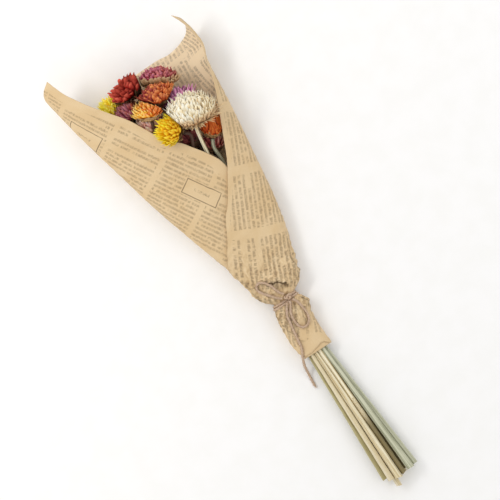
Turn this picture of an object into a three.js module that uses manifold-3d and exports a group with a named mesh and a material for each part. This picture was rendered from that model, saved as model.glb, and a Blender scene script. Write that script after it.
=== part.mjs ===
// Dried strawflower bouquet in a sheet of printed kraft paper, tied with jute twine.
// It lies on its back. +Y runs from the cut stems to the flowers, +X to the right seen
// from above, +Z up. Millimetres. The group is placed so that the middle of the box
// round the flowers, stems and paper stands on the origin, on the surface it lies on.
import * as THREE from 'three';
import { mergeVertices } from 'three/addons/utils/BufferGeometryUtils.js';
import Module from 'manifold-3d';

const wasm = await Module();
wasm.setup();

// Paper sheet
const PAPER_THICKNESS = 0.6;
const PAPER_COLUMNS = 34;
const SPINE_X = 0.8;
// Outline of the lying cone at stations along it, [y, value]
const LEFT_SIDE = [[112, -13.3], [131, -15], [146, -13.7], [154, -12.2], [161, -10.3], [168, -14.7],
  [176, -17.3], [188, -20.3], [208, -26.2], [240, -35.4], [272, -44.1], [312, -53], [352, -61.5],
  [388, -67.6], [399, -69]];
const RIGHT_SIDE = [[112, 12.4], [130, 12], [142, 12.8], [152, 15.4], [161, 11.5], [168, 19.6],
  [176, 23.7], [188, 27.6], [208, 33.6], [237, 39.6], [264, 43.6], [312, 50.2], [344, 53.6],
  [360, 58.2], [370, 57.6], [381, 55.2], [389, 51.5], [399, 48]];
const HEIGHT = [[112, 15.4], [131, 15.8], [161, 13.8], [175, 17.4], [200, 21.5], [237, 27], [285, 34],
  [300, 36.5], [312, 38.5], [343, 44], [366, 49], [399, 53]];
// Height of the back above the surface; below 0 it is pressed flat on it
const UNDERSIDE = [[112, 0.1], [140, 0.5], [153, 2.9], [168, 2.9], [185, 0.4], [205, -0.4], [399, -0.4]];
const ROUNDNESS = [[112, 3], [161, 3], [200, 2.7], [237, 2.4], [399, 2.2]];
const LAYER_PITCH = [[112, 1.05], [161, 0.98], [185, 1.6], [230, 2], [399, 2]];
// Where the two long edges of the sheet run, as angles round the section: 0 is the
// right side, 90 the top, 180 the left side and 270 the back
const LEFT_FLAP_EDGE = [[112, -60], [165, -60], [185, -30], [229, 51], [275, 68], [287, 77],
  [296, 84.4], [305, 90.5], [312, 96.5], [327, 103.7], [340, 109.8], [352, 118], [360, 123.8],
  [366, 128.2], [376, 134.6], [385, 140], [399, 145]];
const RIGHT_FLAP_EDGE = [[112, 600], [165, 600], [185, 572], [204, 540], [230, 461.5], [255, 438.4],
  [273, 423.6], [293, 411], [311, 399], [333, 381], [344, 374], [365, 376], [385, 380], [399, 380]];
// The short edges, along the sheet's width from 0 at the left flap to 1 at the right one
const RIM = [[0, 399], [0.07, 394], [0.154, 387.5], [0.277, 382], [0.334, 374], [0.378, 363],
  [0.42, 358], [0.49, 361], [0.564, 366.7], [0.64, 366.8], [0.69, 365.5], [0.8, 370], [0.87, 377],
  [1, 388.4]];
const SKIRT_HEM = [[0, 116], [0.06, 113.6], [0.55, 114.6], [0.66, 113.6], [0.75, 117.8],
  [0.8, 115.4], [0.86, 115.6], [0.89, 121.5], [0.92, 127.5], [1, 128]];
// Rows of the sheet's grid: shares of the way from the hem to the first fixed row, then
// fixed heights through the tie, then shares of the way from the last of them to the rim
const SKIRT_ROWS = [0, 0.5];
const TIE_ROWS = [142, 150, 157, 161, 165, 170, 176, 184, 193, 202, 210, 218, 226, 236];
const CONE_ROWS = [0.19, 0.41, 0.65, 0.86, 1];

// Stems: where each one passes the tie and where it ends, in three rows seen from the end
const NECK_Y = 161;
const NECK_HALF_LENGTH = 12;
const NECK_CENTRE = [0.35, 8.7];
const NECK_PITCH = 3.32;
const NECK_ROW_RISE = 2.9;
const NECK_RADIUS = 1.55;
const SKIRT_Y = 114;
const SKIRT_SHIFT = [-1.3, -2.05];
const STEM_TOP_RADIUS = 1.35;
const STEM_LEAD = 6;
const STEM_SIDES = 6;
const CLEARANCE = 0.3;

const KRAFT = 0xd8bd92;
const TWINE = 0xb49a7a;
const CREAM_STEM = 0xe4d4a8;
const GREEN_STEM = 0xb9bd9a;
const OLIVE_STEM = 0xb8ab74;

// Each stem: its place in the rows at the tie (row 0 lowest), its cut end [x, y, z],
// its radius there and its colour
const STEMS = [
  { row: 0, place: -1.5, end: [-9.4, 3.2, 2.3], radius: 2.3, colour: OLIVE_STEM },
  { row: 0, place: -0.5, end: [-3.4, 1, 2.5], radius: 2.5, colour: CREAM_STEM },
  { row: 0, place: 0.5, end: [2.6, 0.6, 2.4], radius: 2.3, colour: CREAM_STEM },
  { row: 0, place: 1.44, end: [8.8, 1.6, 2.6], radius: 2.6, colour: GREEN_STEM },
  { row: 1, place: -2, end: [-12.8, 3.6, 7.1], radius: 2.2, colour: OLIVE_STEM },
  { row: 1, place: -1, end: [-6.4, -6.5, 7.1], radius: 2.2, colour: CREAM_STEM },
  { row: 1, place: 0, end: [-0.6, 0, 7.1], radius: 2, colour: OLIVE_STEM },
  { row: 1, place: 1, end: [5, 2.4, 7.1], radius: 2, colour: OLIVE_STEM },
  { row: 1, place: 2, end: [12.5, 1.2, 7.2], radius: 3, colour: GREEN_STEM },
  { row: 2, place: -1.5, end: [-9, 0.6, 12], radius: 2.4, colour: CREAM_STEM },
  { row: 2, place: -0.5, end: [-3.1, -1, 12.1], radius: 3, colour: CREAM_STEM },
  { row: 2, place: 0.5, end: [2.1, -0.2, 11.7], radius: 1.8, colour: CREAM_STEM },
  { row: 2, place: 1.45, end: [8.5, 0.2, 12.2], radius: 3, colour: GREEN_STEM },
];

// Flower heads: middle of the dome, the way its axis points, its size across, through
// and along the axis, the point its stem passes, its form and its colour
const HEADS = [
  { name: '01_yellow', at: [-27.2, 356.3, 15.5], axis: [-0.1, 0.98, 0.1], size: [19, 16, 14],
    stem: 0, via: [-19, 322, 10], form: 'dome', petals: 0xe6c02c },
  { name: '02_maroon', at: [-17, 347, 24], axis: [-0.1, 0.98, 0.15], size: [21.5, 17, 14],
    stem: 1, via: [-11, 312, 8.5], form: 'bowl', petals: 0x8a3a40 },
  { name: '03_crimson', at: [-10.8, 361, 27], axis: [-0.21, 0.97, 0.1], size: [27, 22, 16],
    stem: 2, via: [-2, 318, 10], form: 'bowl', petals: 0xa02c22 },
  { name: '04_purple', at: [14.8, 355.4, 25], axis: [0.42, 0.9, 0.1], size: [30, 21, 12.5],
    stem: 3, via: [11, 316, 11], form: 'bowl', petals: 0x9c4a62 },
  { name: '05_peach', at: [-9.5, 328, 23.5], axis: [-0.1, 0.95, 0.2], size: [16, 14, 12],
    stem: 4, via: [-8, 295, 18], form: 'dome', petals: 0xd8987a },
  { name: '06_rust', at: [6, 345, 36], axis: [0.12, 0.97, 0.2], size: [31, 19, 13],
    stem: 5, via: [1.2, 302, 15], form: 'bowl', petals: 0xb2502a },
  { name: '07_plum', at: [9.8, 302.7, 28], axis: [0.15, 0.95, 0.2], size: [18, 15, 12],
    stem: 6, via: [7, 260, 17], form: 'bowl', petals: 0x6a2a38 },
  { name: '08_magenta', at: [16.8, 333, 27], axis: [0.38, 0.92, 0.15], size: [27, 18, 14],
    stem: 7, via: [12.4, 296, 15], form: 'bowl', petals: 0xa04c74 },
  { name: '09_wine', at: [22.5, 291, 16], axis: [0.4, 0.9, 0.15], size: [17, 13, 11],
    stem: 8, via: [15.5, 256, 12.5], form: 'bowl', petals: 0x7c3038 },
  { name: '10_amber', at: [-5.8, 337, 38], axis: [0.25, 0.92, 0.3], size: [27, 19, 18],
    stem: 9, via: [-7, 290, 24], form: 'dome', petals: 0xe09a3c },
  { name: '11_lemon', at: [-0.4, 316.5, 43.5], axis: [-0.62, 0.6, 0.5], size: [22, 17, 16],
    stem: 10, via: [0.6, 280, 24], form: 'dome', petals: 0xeac428 },
  { name: '12_white', at: [21.8, 322.8, 46], axis: [0.22, 0.85, 0.48], size: [41, 29, 23],
    stem: 11, via: [13.2, 280, 25], form: 'dome', petals: 0xece0c4 },
  { name: '13_orange', at: [28.6, 303, 26.4], axis: [0.45, 0.85, 0.2], size: [21, 15, 14],
    stem: 12, via: [20.5, 274, 19.5], form: 'bowl', petals: 0xc8602a },
];
const TAN = 0xa9805a;

// Petal rings of a head with unit radius and unit height: count, then radius and height
// of a petal's root, middle and tip, and its width
const FORMS = {
  dome: {
    core: [[0, 0], [0.44, 0], [0.64, 0.16], [0.68, 0.4], [0.54, 0.64], [0.28, 0.79], [0, 0.83]],
    rings: [
      { count: 8, root: [0.4, 0.14], middle: [0.84, 0.2], tip: [1, 0.4], width: 0.4 },
      { count: 6, root: [0.42, 0.34], middle: [0.82, 0.44], tip: [0.9, 0.7], width: 0.42 },
      { count: 5, root: [0.32, 0.5], middle: [0.6, 0.68], tip: [0.64, 0.92], width: 0.42 },
      { count: 3, root: [0.12, 0.6], middle: [0.28, 0.84], tip: [0.28, 1], width: 0.32 },
    ],
  },
  bowl: {
    core: [[0, 0], [0.5, 0], [0.74, 0.14], [0.8, 0.34], [0.66, 0.5], [0.36, 0.56], [0, 0.54]],
    rings: [
      { count: 9, root: [0.5, 0.1], middle: [0.92, 0.3], tip: [1, 0.72], width: 0.4 },
      { count: 7, root: [0.55, 0.22], middle: [0.8, 0.52], tip: [0.84, 0.96], width: 0.4 },
      { count: 4, root: [0.34, 0.36], middle: [0.5, 0.62], tip: [0.5, 0.9], width: 0.34 },
    ],
  },
};
const WHITE_RINGS = [
  { count: 10, root: [0.44, 0.1], middle: [0.88, 0.14], tip: [1, 0.3], width: 0.32 },
  { count: 10, root: [0.48, 0.28], middle: [0.9, 0.34], tip: [0.98, 0.56], width: 0.32 },
  { count: 8, root: [0.44, 0.44], middle: [0.78, 0.56], tip: [0.84, 0.78], width: 0.32 },
  { count: 6, root: [0.28, 0.58], middle: [0.54, 0.76], tip: [0.57, 0.96], width: 0.3 },
  { count: 3, root: [0.1, 0.66], middle: [0.22, 0.86], tip: [0.22, 1.02], width: 0.24 },
];
// Heads narrower than this have two rings of petals
const SMALL_HEAD = 22;
const PETAL_THICKNESS = 0.9;
const CORE_SIDES = 6;
const CALYX_DEPTH = 4.2;
const CALYX_BRACTS = 4;
const PRESS_DEPTH = 3;
const PRESS_GAP = 0.25;
const PRESS_PASSES = 3;
const WALL_START = 0.86;
const OPENING_EASE = [3, 22];
const ROOM_ROWS = [225, 245, 265, 280, 292, 304, 316, 328, 340, 352, 364, 376, 388, 410];
const ROOM_SIDES = 40;
const ROOM_OPEN = 1.6;
const SLIVER = 0.05;
// Heads that lie over the paper, and the height of the flap under the lemon one
const ABOVE_PAPER = new Set(['11_lemon', '12_white']);
const FLAP_TOP = 38.2;

// Twine
const TWINE_DIAMETER = 1.8;
const TWINE_STEP = 2.8;
const TIE_TURNS = 2;
const TIE_START_Y = 157.6;
const TIE_PITCH = 1.98;
const TIE_STEPS = 22;
const TIE_SLACK = 0.4;
const EDGE_EASE = 30;
const KNOT_AT = [3.6, 161];
const KNOT_SIZE = [3.4, 2.6, 1.7];
// Routes of the free twine: [x, y, rise above the paper]
const LEFT_LOOP = [[2.4, 164.6, 2.3], [0.6, 166.4, 1.8], [-1.2, 170.2, 1.4], [-2.6, 175, 1.3],
  [-5.4, 179.5, 1.3], [-9.2, 182, 1.3], [-12.2, 180.8, 1.3], [-12.8, 177.2, 1.3],
  [-10.4, 173, 1.3], [-7, 168.8, 1.4], [-4.6, 165.8, 1.8], [-2.8, 164, 2.8], [-0.9, 162.4, 3.4]];
const RIGHT_LOOP = [[5.6, 157.6, 3.4], [6.9, 155.2, 2.3], [8, 152, 1.4], [8.6, 147.6, 1.3],
  [8.7, 142.2, 1.3], [7.2, 137.6, 1.3], [3.6, 135, 1.3], [-0.4, 135.8, 1.3], [-2.4, 139.8, 1.3],
  [-2.6, 145, 1.3], [-1.2, 150.2, 1.4], [0.7, 153.4, 1.9], [2.2, 155.8, 2.8], [3, 157.5, 3.6]];
// The long end: over the paper, then off its hem and down to the surface, [x, y, z]
const TAIL_ON_PAPER = [[0.4, 157.6, 3.5], [-1.4, 155.2, 2.4], [-3.4, 152.2, 1.4],
  [-5.2, 148.6, 1.3], [-6.1, 143.4, 1.3], [-7.4, 136.4, 1.3], [-8.6, 129, 1.3], [-9.8, 122.6, 1.3]];
const TAIL_FALL = [[-12.8, 116.6, 13.3], [-14.9, 111.4, 9.6], [-15.9, 106.6, 5.4],
  [-16.5, 101.4, 2.1], [-17.1, 96.4, 1], [-17.4, 91, 1]];

// Smooth curve of one value along another, with no overshoot between its points
function profile(points) {
  const slope = [];
  for (let i = 0; i + 1 < points.length; i += 1) {
    slope.push((points[i + 1][1] - points[i][1]) / (points[i + 1][0] - points[i][0]));
  }
  const tangent = points.map((_, i) => {
    if (i === 0) return slope[0];
    if (i === points.length - 1) return slope[i - 1];
    const product = slope[i - 1] * slope[i];
    return product <= 0 ? 0 : (2 * product) / (slope[i - 1] + slope[i]);
  });
  const last = points.length - 2;
  return (at) => {
    const x = Math.min(Math.max(at, points[0][0]), points[last + 1][0]);
    let i = 0;
    while (i < last && x > points[i + 1][0]) i += 1;
    const step = points[i + 1][0] - points[i][0];
    const t = (x - points[i][0]) / step;
    const rise = points[i + 1][1] - points[i][1];
    const bend = t * (1 - t) * ((1 - t) * (tangent[i] * step - rise) - t * (tangent[i + 1] * step - rise));
    return points[i][1] + rise * t + bend;
  };
}

const leftSide = profile(LEFT_SIDE);
const rightSide = profile(RIGHT_SIDE);
const height = profile(HEIGHT);
const underside = profile(UNDERSIDE);
const roundness = profile(ROUNDNESS);
const layerPitch = profile(LAYER_PITCH);
const leftFlapEdge = profile(LEFT_FLAP_EDGE);
const rightFlapEdge = profile(RIGHT_FLAP_EDGE);
const rim = profile(RIM);
const skirtHem = profile(SKIRT_HEM);

const signedPower = (value, power) => Math.sign(value) * Math.abs(value) ** power;

// Middle height of the wrap's section at y, lowered so that its back lies on the surface
function sectionMiddle(y) {
  const layersUnderBack = (rightFlapEdge(y) - 270) / 360;
  return underside(y) + height(y) / 2 - layerPitch(y) * layersUnderBack;
}

// Point of the wrap's section at y, so many millimetres inside its outline
function sectionPoint(y, degrees, inset) {
  const angle = THREE.MathUtils.degToRad(degrees);
  const across = Math.cos(angle);
  const reach = (across < 0 ? SPINE_X - leftSide(y) : rightSide(y) - SPINE_X) - inset;
  const power = 2 / roundness(y);
  return new THREE.Vector3(
    SPINE_X + reach * signedPower(across, power),
    y,
    sectionMiddle(y) + (height(y) / 2 - inset) * signedPower(Math.sin(angle), power),
  );
}

// Inset of the sheet's outer face: each turn lies inside the next one
function layerInset(y, degrees) {
  return (layerPitch(y) * (rightFlapEdge(y) - degrees)) / 360;
}

// Inset of the outermost layer at the tie, eased over the free edge under the back
function outerInset(y, degrees) {
  const freeEdge = rightFlapEdge(y) - 360;
  if (degrees < freeEdge) return layerInset(y, degrees + 360);
  return layerInset(y, degrees) * Math.min((degrees - freeEdge) / EDGE_EASE, 1);
}

// Height at x, y of a face that lies so far outside the paper's top
function abovePaper(x, y, rise) {
  const reach = (x < SPINE_X ? SPINE_X - leftSide(y) : rightSide(y) - SPINE_X) + rise;
  const share = Math.min(Math.abs(x - SPINE_X) / reach, 1);
  const power = roundness(y);
  const lift = (1 - share ** power) ** (1 / power);
  return sectionMiddle(y) + (height(y) / 2 - layerInset(y, 450) + rise) * lift;
}

// Places along the cone of the sheet's rows, at a share of its width
function paperRows(share) {
  const hem = skirtHem(share);
  const top = rim(share);
  const first = TIE_ROWS[0];
  const last = TIE_ROWS[TIE_ROWS.length - 1];
  return [
    ...SKIRT_ROWS.map((part) => THREE.MathUtils.lerp(hem, first, part)),
    ...TIE_ROWS,
    ...CONE_ROWS.map((part) => THREE.MathUtils.lerp(last, top, part)),
  ];
}

function meshGeometry(points, faces) {
  const geometry = new THREE.BufferGeometry();
  geometry.setAttribute('position', new THREE.Float32BufferAttribute(points.flat(), 3));
  geometry.setIndex(faces.flat());
  return geometry;
}

// The sheet as a closed solid: an outer and an inner face split alike, and its four edges
function paperGeometry() {
  const points = [];
  const rows = SKIRT_ROWS.length + TIE_ROWS.length + CONE_ROWS.length;
  for (const depth of [0, PAPER_THICKNESS]) {
    for (let row = 0; row < rows; row += 1) {
      for (let column = 0; column <= PAPER_COLUMNS; column += 1) {
        const share = column / PAPER_COLUMNS;
        const y = paperRows(share)[row];
        const degrees = THREE.MathUtils.lerp(leftFlapEdge(y), rightFlapEdge(y), share);
        const point = sectionPoint(y, degrees, layerInset(y, degrees) + depth);
        point.z = Math.max(point.z, depth);
        points.push(point.toArray());
      }
    }
  }
  const width = PAPER_COLUMNS + 1;
  const inner = rows * width;
  const faces = [];
  const edge = (a, b) => faces.push([a, b, b + inner], [a, b + inner, a + inner]);
  for (let row = 0; row + 1 < rows; row += 1) {
    for (let column = 0; column < PAPER_COLUMNS; column += 1) {
      const a = row * width + column;
      const b = a + 1;
      const c = a + width;
      const d = c + 1;
      faces.push([a, c, b], [b, c, d]);
      faces.push([a + inner, b + inner, c + inner], [b + inner, d + inner, c + inner]);
    }
    edge((row + 1) * width, row * width);
    edge(row * width + PAPER_COLUMNS, (row + 1) * width + PAPER_COLUMNS);
  }
  const topRow = (rows - 1) * width;
  for (let column = 0; column < PAPER_COLUMNS; column += 1) {
    edge(column, column + 1);
    edge(topRow + column + 1, topRow + column);
  }
  return meshGeometry(points, faces);
}

// Axes of a head: across it, through it and along it
function headAxes(head) {
  const along = new THREE.Vector3(...head.axis).normalize();
  const across = new THREE.Vector3(0, 0, 1).cross(along).negate().normalize();
  const through = new THREE.Vector3().crossVectors(along, across);
  return { across, through, along };
}

const headMiddle = (head) => new THREE.Vector3(...head.at);

// How far a head reaches from its middle in a direction
function headReach(head, direction) {
  const { across, through, along } = headAxes(head);
  return Math.hypot(
    across.dot(direction) * head.size[0],
    through.dot(direction) * head.size[1],
    along.dot(direction) * head.size[2],
  ) / 2;
}

// Foot of a head's dome, where its calyx begins
function headFoot(head) {
  return headMiddle(head).addScaledVector(headAxes(head).along, -head.size[2] / 2);
}

const stemOfHead = (head) => {
  const stem = STEMS[head.stem];
  const { along } = headAxes(head);
  const neck = new THREE.Vector3(
    NECK_CENTRE[0] + stem.place * NECK_PITCH,
    NECK_Y,
    NECK_CENTRE[1] + (stem.row - 1) * NECK_ROW_RISE,
  );
  const top = headFoot(head).addScaledVector(along, -CALYX_DEPTH - CLEARANCE);
  const skirt = new THREE.Vector3(neck.x + SKIRT_SHIFT[0], SKIRT_Y, neck.z + SKIRT_SHIFT[1]);
  return { stem, neck, skirt, top, along };
};

// Middle line of a stem from its cut end to its head, as points and radii
function stemLine(head) {
  const { stem, neck, skirt, top, along } = stemOfHead(head);
  const end = new THREE.Vector3(...stem.end);
  const low = neck.clone().setY(NECK_Y - NECK_HALF_LENGTH);
  const high = neck.clone().setY(NECK_Y + NECK_HALF_LENGTH);
  const curve = new THREE.CatmullRomCurve3(
    [low, high, new THREE.Vector3(...head.via), top.clone().addScaledVector(along, -STEM_LEAD), top],
    false,
    'centripetal',
  );
  const points = [end, skirt, low];
  const radii = [stem.radius, NECK_RADIUS + 0.1, NECK_RADIUS];
  const steps = 8;
  for (let i = 2; i <= steps; i += 1) {
    points.push(curve.getPoint(i / steps));
    radii.push(THREE.MathUtils.lerp(NECK_RADIUS, STEM_TOP_RADIUS, i / steps));
  }
  return { points, radii };
}

// Faces of a closed tube of rings, with flat ends
function tubeFaces(rings, sides) {
  const faces = [];
  for (let i = 0; i + 1 < rings; i += 1) {
    for (let k = 0; k < sides; k += 1) {
      const next = (k + 1) % sides;
      const a = i * sides + k;
      const b = i * sides + next;
      faces.push([a, b, b + sides], [a, b + sides, a + sides]);
    }
  }
  const last = (rings - 1) * sides;
  for (let k = 1; k + 1 < sides; k += 1) {
    faces.push([0, k + 1, k], [last, last + k, last + k + 1]);
  }
  return faces;
}

// A round rod of varying radius along a line of points that stays away from the
// direction of the reference, with flat ends
function rodGeometry(points, radii, sides, reference) {
  const rings = points.map((point, i) => {
    const before = points[Math.max(i - 1, 0)];
    const after = points[Math.min(i + 1, points.length - 1)];
    const ahead = after.clone().sub(before).normalize();
    const side = new THREE.Vector3().crossVectors(reference, ahead).normalize();
    const up = new THREE.Vector3().crossVectors(ahead, side);
    const ring = [];
    for (let k = 0; k < sides; k += 1) {
      const turn = (2 * Math.PI * (k + 0.5)) / sides;
      const corner = point.clone()
        .addScaledVector(side, radii[i] * Math.cos(turn))
        .addScaledVector(up, radii[i] * Math.sin(turn));
      ring.push(corner.toArray());
    }
    return ring;
  });
  return meshGeometry(rings.flat(), tubeFaces(rings.length, sides));
}

// A closed solid of revolution round +Z through [radius, height] points on its axis ends
function turnedGeometry(outline, sides) {
  const points = outline.map(([radius, z]) => new THREE.Vector2(radius, z));
  return new THREE.LatheGeometry(points, sides).rotateX(Math.PI / 2);
}

// A petal at an angle round the axis of a placed head: root, middle and tip, flat inside,
// with a keel along its back, narrowing to its tip
function petalGeometry(ring, angle, shape, lean) {
  const outward = new THREE.Vector3(Math.cos(angle), Math.sin(angle), 0);
  const side = new THREE.Vector3(-Math.sin(angle), Math.cos(angle), 0);
  const place = ([r, z], slide) => shape.place(
    outward.clone().multiplyScalar(r * shape.radius).addScaledVector(side, slide)
      .setZ(z * shape.depth),
  );
  const root = place(ring.root, 0);
  const middle = place(ring.middle, lean * 0.5);
  const tip = place(ring.tip, lean);
  const half = (ring.width * shape.radius) / 2;
  const spread = shape.turn(side).multiplyScalar(half);
  const keel = new THREE.Vector3().crossVectors(spread, tip.clone().sub(root)).normalize()
    .multiplyScalar(PETAL_THICKNESS);
  const points = [
    root.clone().addScaledVector(spread, 0.6),
    root.clone().addScaledVector(spread, -0.6),
    root.clone().add(keel),
    middle.clone().add(spread),
    middle.clone().sub(spread),
    middle.clone().add(keel),
    tip,
  ].map((point) => point.toArray());
  const inside = [[0, 1, 4], [0, 4, 3], [3, 4, 6]];
  const back = [[0, 3, 5], [0, 5, 2], [3, 6, 5], [1, 2, 5], [1, 5, 4], [5, 6, 4]];
  return meshGeometry(points, [...inside, ...back, [0, 2, 1]]);
}

// Closed mesh to solid, joined solids, and solid back to mesh
function toSolid(geometry) {
  const bare = geometry.clone();
  bare.deleteAttribute('normal');
  bare.deleteAttribute('uv');
  const merged = mergeVertices(bare, 1e-4);
  const faces = Array.from(merged.index.array);
  const kept = [];
  for (let i = 0; i < faces.length; i += 3) {
    const [a, b, c] = faces.slice(i, i + 3);
    if (a !== b && b !== c && c !== a) kept.push(a, b, c);
  }
  return new wasm.Manifold(new wasm.Mesh({
    numProp: 3,
    vertProperties: new Float32Array(merged.attributes.position.array),
    triVerts: new Uint32Array(kept),
  }));
}

function toGeometry(solid) {
  const mesh = solid.getMesh();
  const geometry = new THREE.BufferGeometry();
  geometry.setAttribute('position', new THREE.Float32BufferAttribute(mesh.vertProperties, 3));
  geometry.setIndex(Array.from(mesh.triVerts));
  return geometry;
}

const joinedSolid = (geometries) => wasm.Manifold.union(geometries.map(toSolid));
const joined = (geometries) => toGeometry(joinedSolid(geometries));

// Flat faces that press a head back: from its neighbours and from stems passing close by
function pressingPlanes(index) {
  const head = HEADS[index];
  const middle = headMiddle(head);
  const planes = [];
  HEADS.forEach((other, k) => {
    if (k === index) return;
    const away = headMiddle(other).sub(middle);
    const distance = away.length();
    away.normalize();
    const mine = headReach(head, away);
    const theirs = headReach(other, away);
    if (mine + theirs > distance - PRESS_GAP) {
      planes.push({ away, limit: (distance * mine) / (mine + theirs) - PRESS_GAP });
    }
    const line = stemLine(other);
    const nearest = nearestOnLine(middle, line);
    const towards = nearest.point.clone().sub(middle);
    const gap = towards.length();
    towards.normalize();
    if (gap - nearest.radius - PRESS_GAP < headReach(head, towards)) {
      planes.push({ away: towards, limit: gap - nearest.radius - PRESS_GAP - 0.3 });
    }
  });
  return planes;
}

// Nearest point of a stem's middle line, and the stem's radius there
function nearestOnLine(from, line) {
  let best = { distance: Infinity };
  for (let i = 0; i + 1 < line.points.length; i += 1) {
    const part = new THREE.Line3(line.points[i], line.points[i + 1]);
    const share = part.closestPointToPointParameter(from, true);
    const point = part.at(share, new THREE.Vector3());
    const distance = point.distanceTo(from);
    if (distance < best.distance) {
      const radius = THREE.MathUtils.lerp(line.radii[i], line.radii[i + 1], share);
      best = { distance, point, radius };
    }
  }
  return best;
}

// Softly bounded value: grows as before up to PRESS_DEPTH short of the limit
function pressed(value, limit) {
  const start = limit - PRESS_DEPTH;
  if (value <= start) return value;
  return start + PRESS_DEPTH * (1 - Math.exp(-(value - start) / PRESS_DEPTH));
}

// How far inside the wrap's outline a head stays
function wallDepth(y) {
  return layerInset(y, leftFlapEdge(y)) + PAPER_THICKNESS + 2 * CLEARANCE;
}

// Moves a head's point inside the paper wall, where the wall stands round it
function insideWall(point) {
  const y = point.y;
  const middle = sectionMiddle(y);
  const power = roundness(y);
  const wall = wallDepth(y);
  const reach = (point.x < SPINE_X ? SPINE_X - leftSide(y) : rightSide(y) - SPINE_X) - wall;
  const half = height(y) / 2 - wall;
  const across = (point.x - SPINE_X) / reach;
  const up = (point.z - middle) / half;
  const radius = (Math.abs(across) ** power + Math.abs(up) ** power) ** (1 / power);
  if (radius <= WALL_START) return;
  const room = 1 - WALL_START;
  const bounded = WALL_START + room * (1 - Math.exp(-(radius - WALL_START) / room));
  const degrees = THREE.MathUtils.radToDeg(
    Math.atan2(signedPower(up, power / 2), signedPower(across, power / 2)),
  );
  const kept = THREE.MathUtils.lerp(bounded, radius, inOpening(y, degrees));
  point.x = SPINE_X + (across * reach * kept) / radius;
  point.z = middle + (up * half * kept) / radius;
}

const inOpening = (y, degrees) => THREE.MathUtils.smoothstep(
  Math.min(degrees - (rightFlapEdge(y) - 360), leftFlapEdge(y) - degrees),
  OPENING_EASE[0],
  OPENING_EASE[1],
);

// The room for heads inside the paper wall, wide open above the gap between its flaps
function roomSolid() {
  const points = [];
  ROOM_ROWS.forEach((y) => {
    const middle = new THREE.Vector3(SPINE_X, y, sectionMiddle(y));
    for (let k = 0; k < ROOM_SIDES; k += 1) {
      const degrees = 360 - (360 * (k + 0.5)) / ROOM_SIDES;
      const point = sectionPoint(y, degrees, wallDepth(y));
      const stretch = 1 + ROOM_OPEN * Math.max(inOpening(y, degrees), inOpening(y, degrees - 360));
      points.push(point.sub(middle).multiplyScalar(stretch).add(middle).toArray());
    }
  });
  return toSolid(meshGeometry(points, tubeFaces(ROOM_ROWS.length, ROOM_SIDES)));
}

const paperRoom = roomSolid();

// Puts a head on its place: its size, and moves from head space to the bouquet, as it
// grows and as it is pressed clear of what lies round it
function shapeOfHead(index) {
  const head = HEADS[index];
  const { across, through, along } = headAxes(head);
  const basis = new THREE.Matrix4().makeBasis(across, through, along);
  const matrix = basis.clone().setPosition(headFoot(head));
  matrix.multiply(new THREE.Matrix4().makeScale(1, head.size[1] / head.size[0], 1));
  const middle = headMiddle(head);
  const planes = pressingPlanes(index);
  const stand = (point) => point.applyMatrix4(matrix);
  const place = (point) => {
    stand(point);
    for (let pass = 0; pass < PRESS_PASSES; pass += 1) {
      for (const { away, limit } of planes) {
        const reach = point.clone().sub(middle).dot(away);
        point.addScaledVector(away, pressed(reach, limit - PETAL_THICKNESS / 2) - reach);
      }
      if (!ABOVE_PAPER.has(head.name)) insideWall(point);
    }
    return point;
  };
  const turn = (direction) => direction.clone().transformDirection(basis);
  const size = { radius: head.size[0] / 2, depth: head.size[2] };
  return { head, middle, planes, stand, place, turn, ...size };
}

// A solid of revolution in head space, moved to its head
function placedCore(outline, place) {
  const core = turnedGeometry(outline, CORE_SIDES);
  const position = core.attributes.position;
  const point = new THREE.Vector3();
  for (let i = 0; i < position.count; i += 1) {
    place(point.fromBufferAttribute(position, i));
    position.setXYZ(i, point.x, point.y, point.z);
  }
  return core;
}

// Joins the pieces of a head and trims off what would touch its neighbours or the paper
function trimmedHead(pieces, shape, along, footOffset, lowest) {
  let solid = joinedSolid(pieces);
  const foot = headFoot(shape.head).dot(along) + footOffset;
  solid = solid.trimByPlane(along.toArray(), foot);
  shape.planes.forEach(({ away, limit }) => {
    const reach = shape.middle.dot(away) + limit;
    solid = solid.trimByPlane(away.clone().negate().toArray(), -reach);
  });
  if (!ABOVE_PAPER.has(shape.head.name)) solid = solid.intersect(paperRoom);
  solid = solid.trimByPlane([0, 0, 1], lowest).simplify(SLIVER);
  const [largest] = solid.decompose().sort((a, b) => b.volume() - a.volume());
  return toGeometry(largest);
}

function bloomGeometry(index) {
  const shape = shapeOfHead(index);
  const form = FORMS[shape.head.form];
  const fullRings = shape.head.name === '12_white' ? WHITE_RINGS : form.rings;
  const rings = shape.head.size[0] < SMALL_HEAD ? fullRings.slice(0, 2) : fullRings;
  const outline = form.core.map(([r, z]) => [r * shape.radius, z * shape.depth]);
  const pieces = [placedCore(outline, shape.place)];
  rings.forEach((ring, level) => {
    for (let k = 0; k < ring.count; k += 1) {
      const angle = (2 * Math.PI * (k + 0.5 * (level % 2) + 0.13 * index)) / ring.count;
      const lean = 0.05 * shape.radius * Math.sin(3 * k + level + index);
      pieces.push(petalGeometry(ring, angle, shape, lean));
    }
  });
  const lowest = shape.head.name === '11_lemon' ? FLAP_TOP : 0;
  return trimmedHead(pieces, shape, headAxes(shape.head).along, 0, lowest);
}

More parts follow.
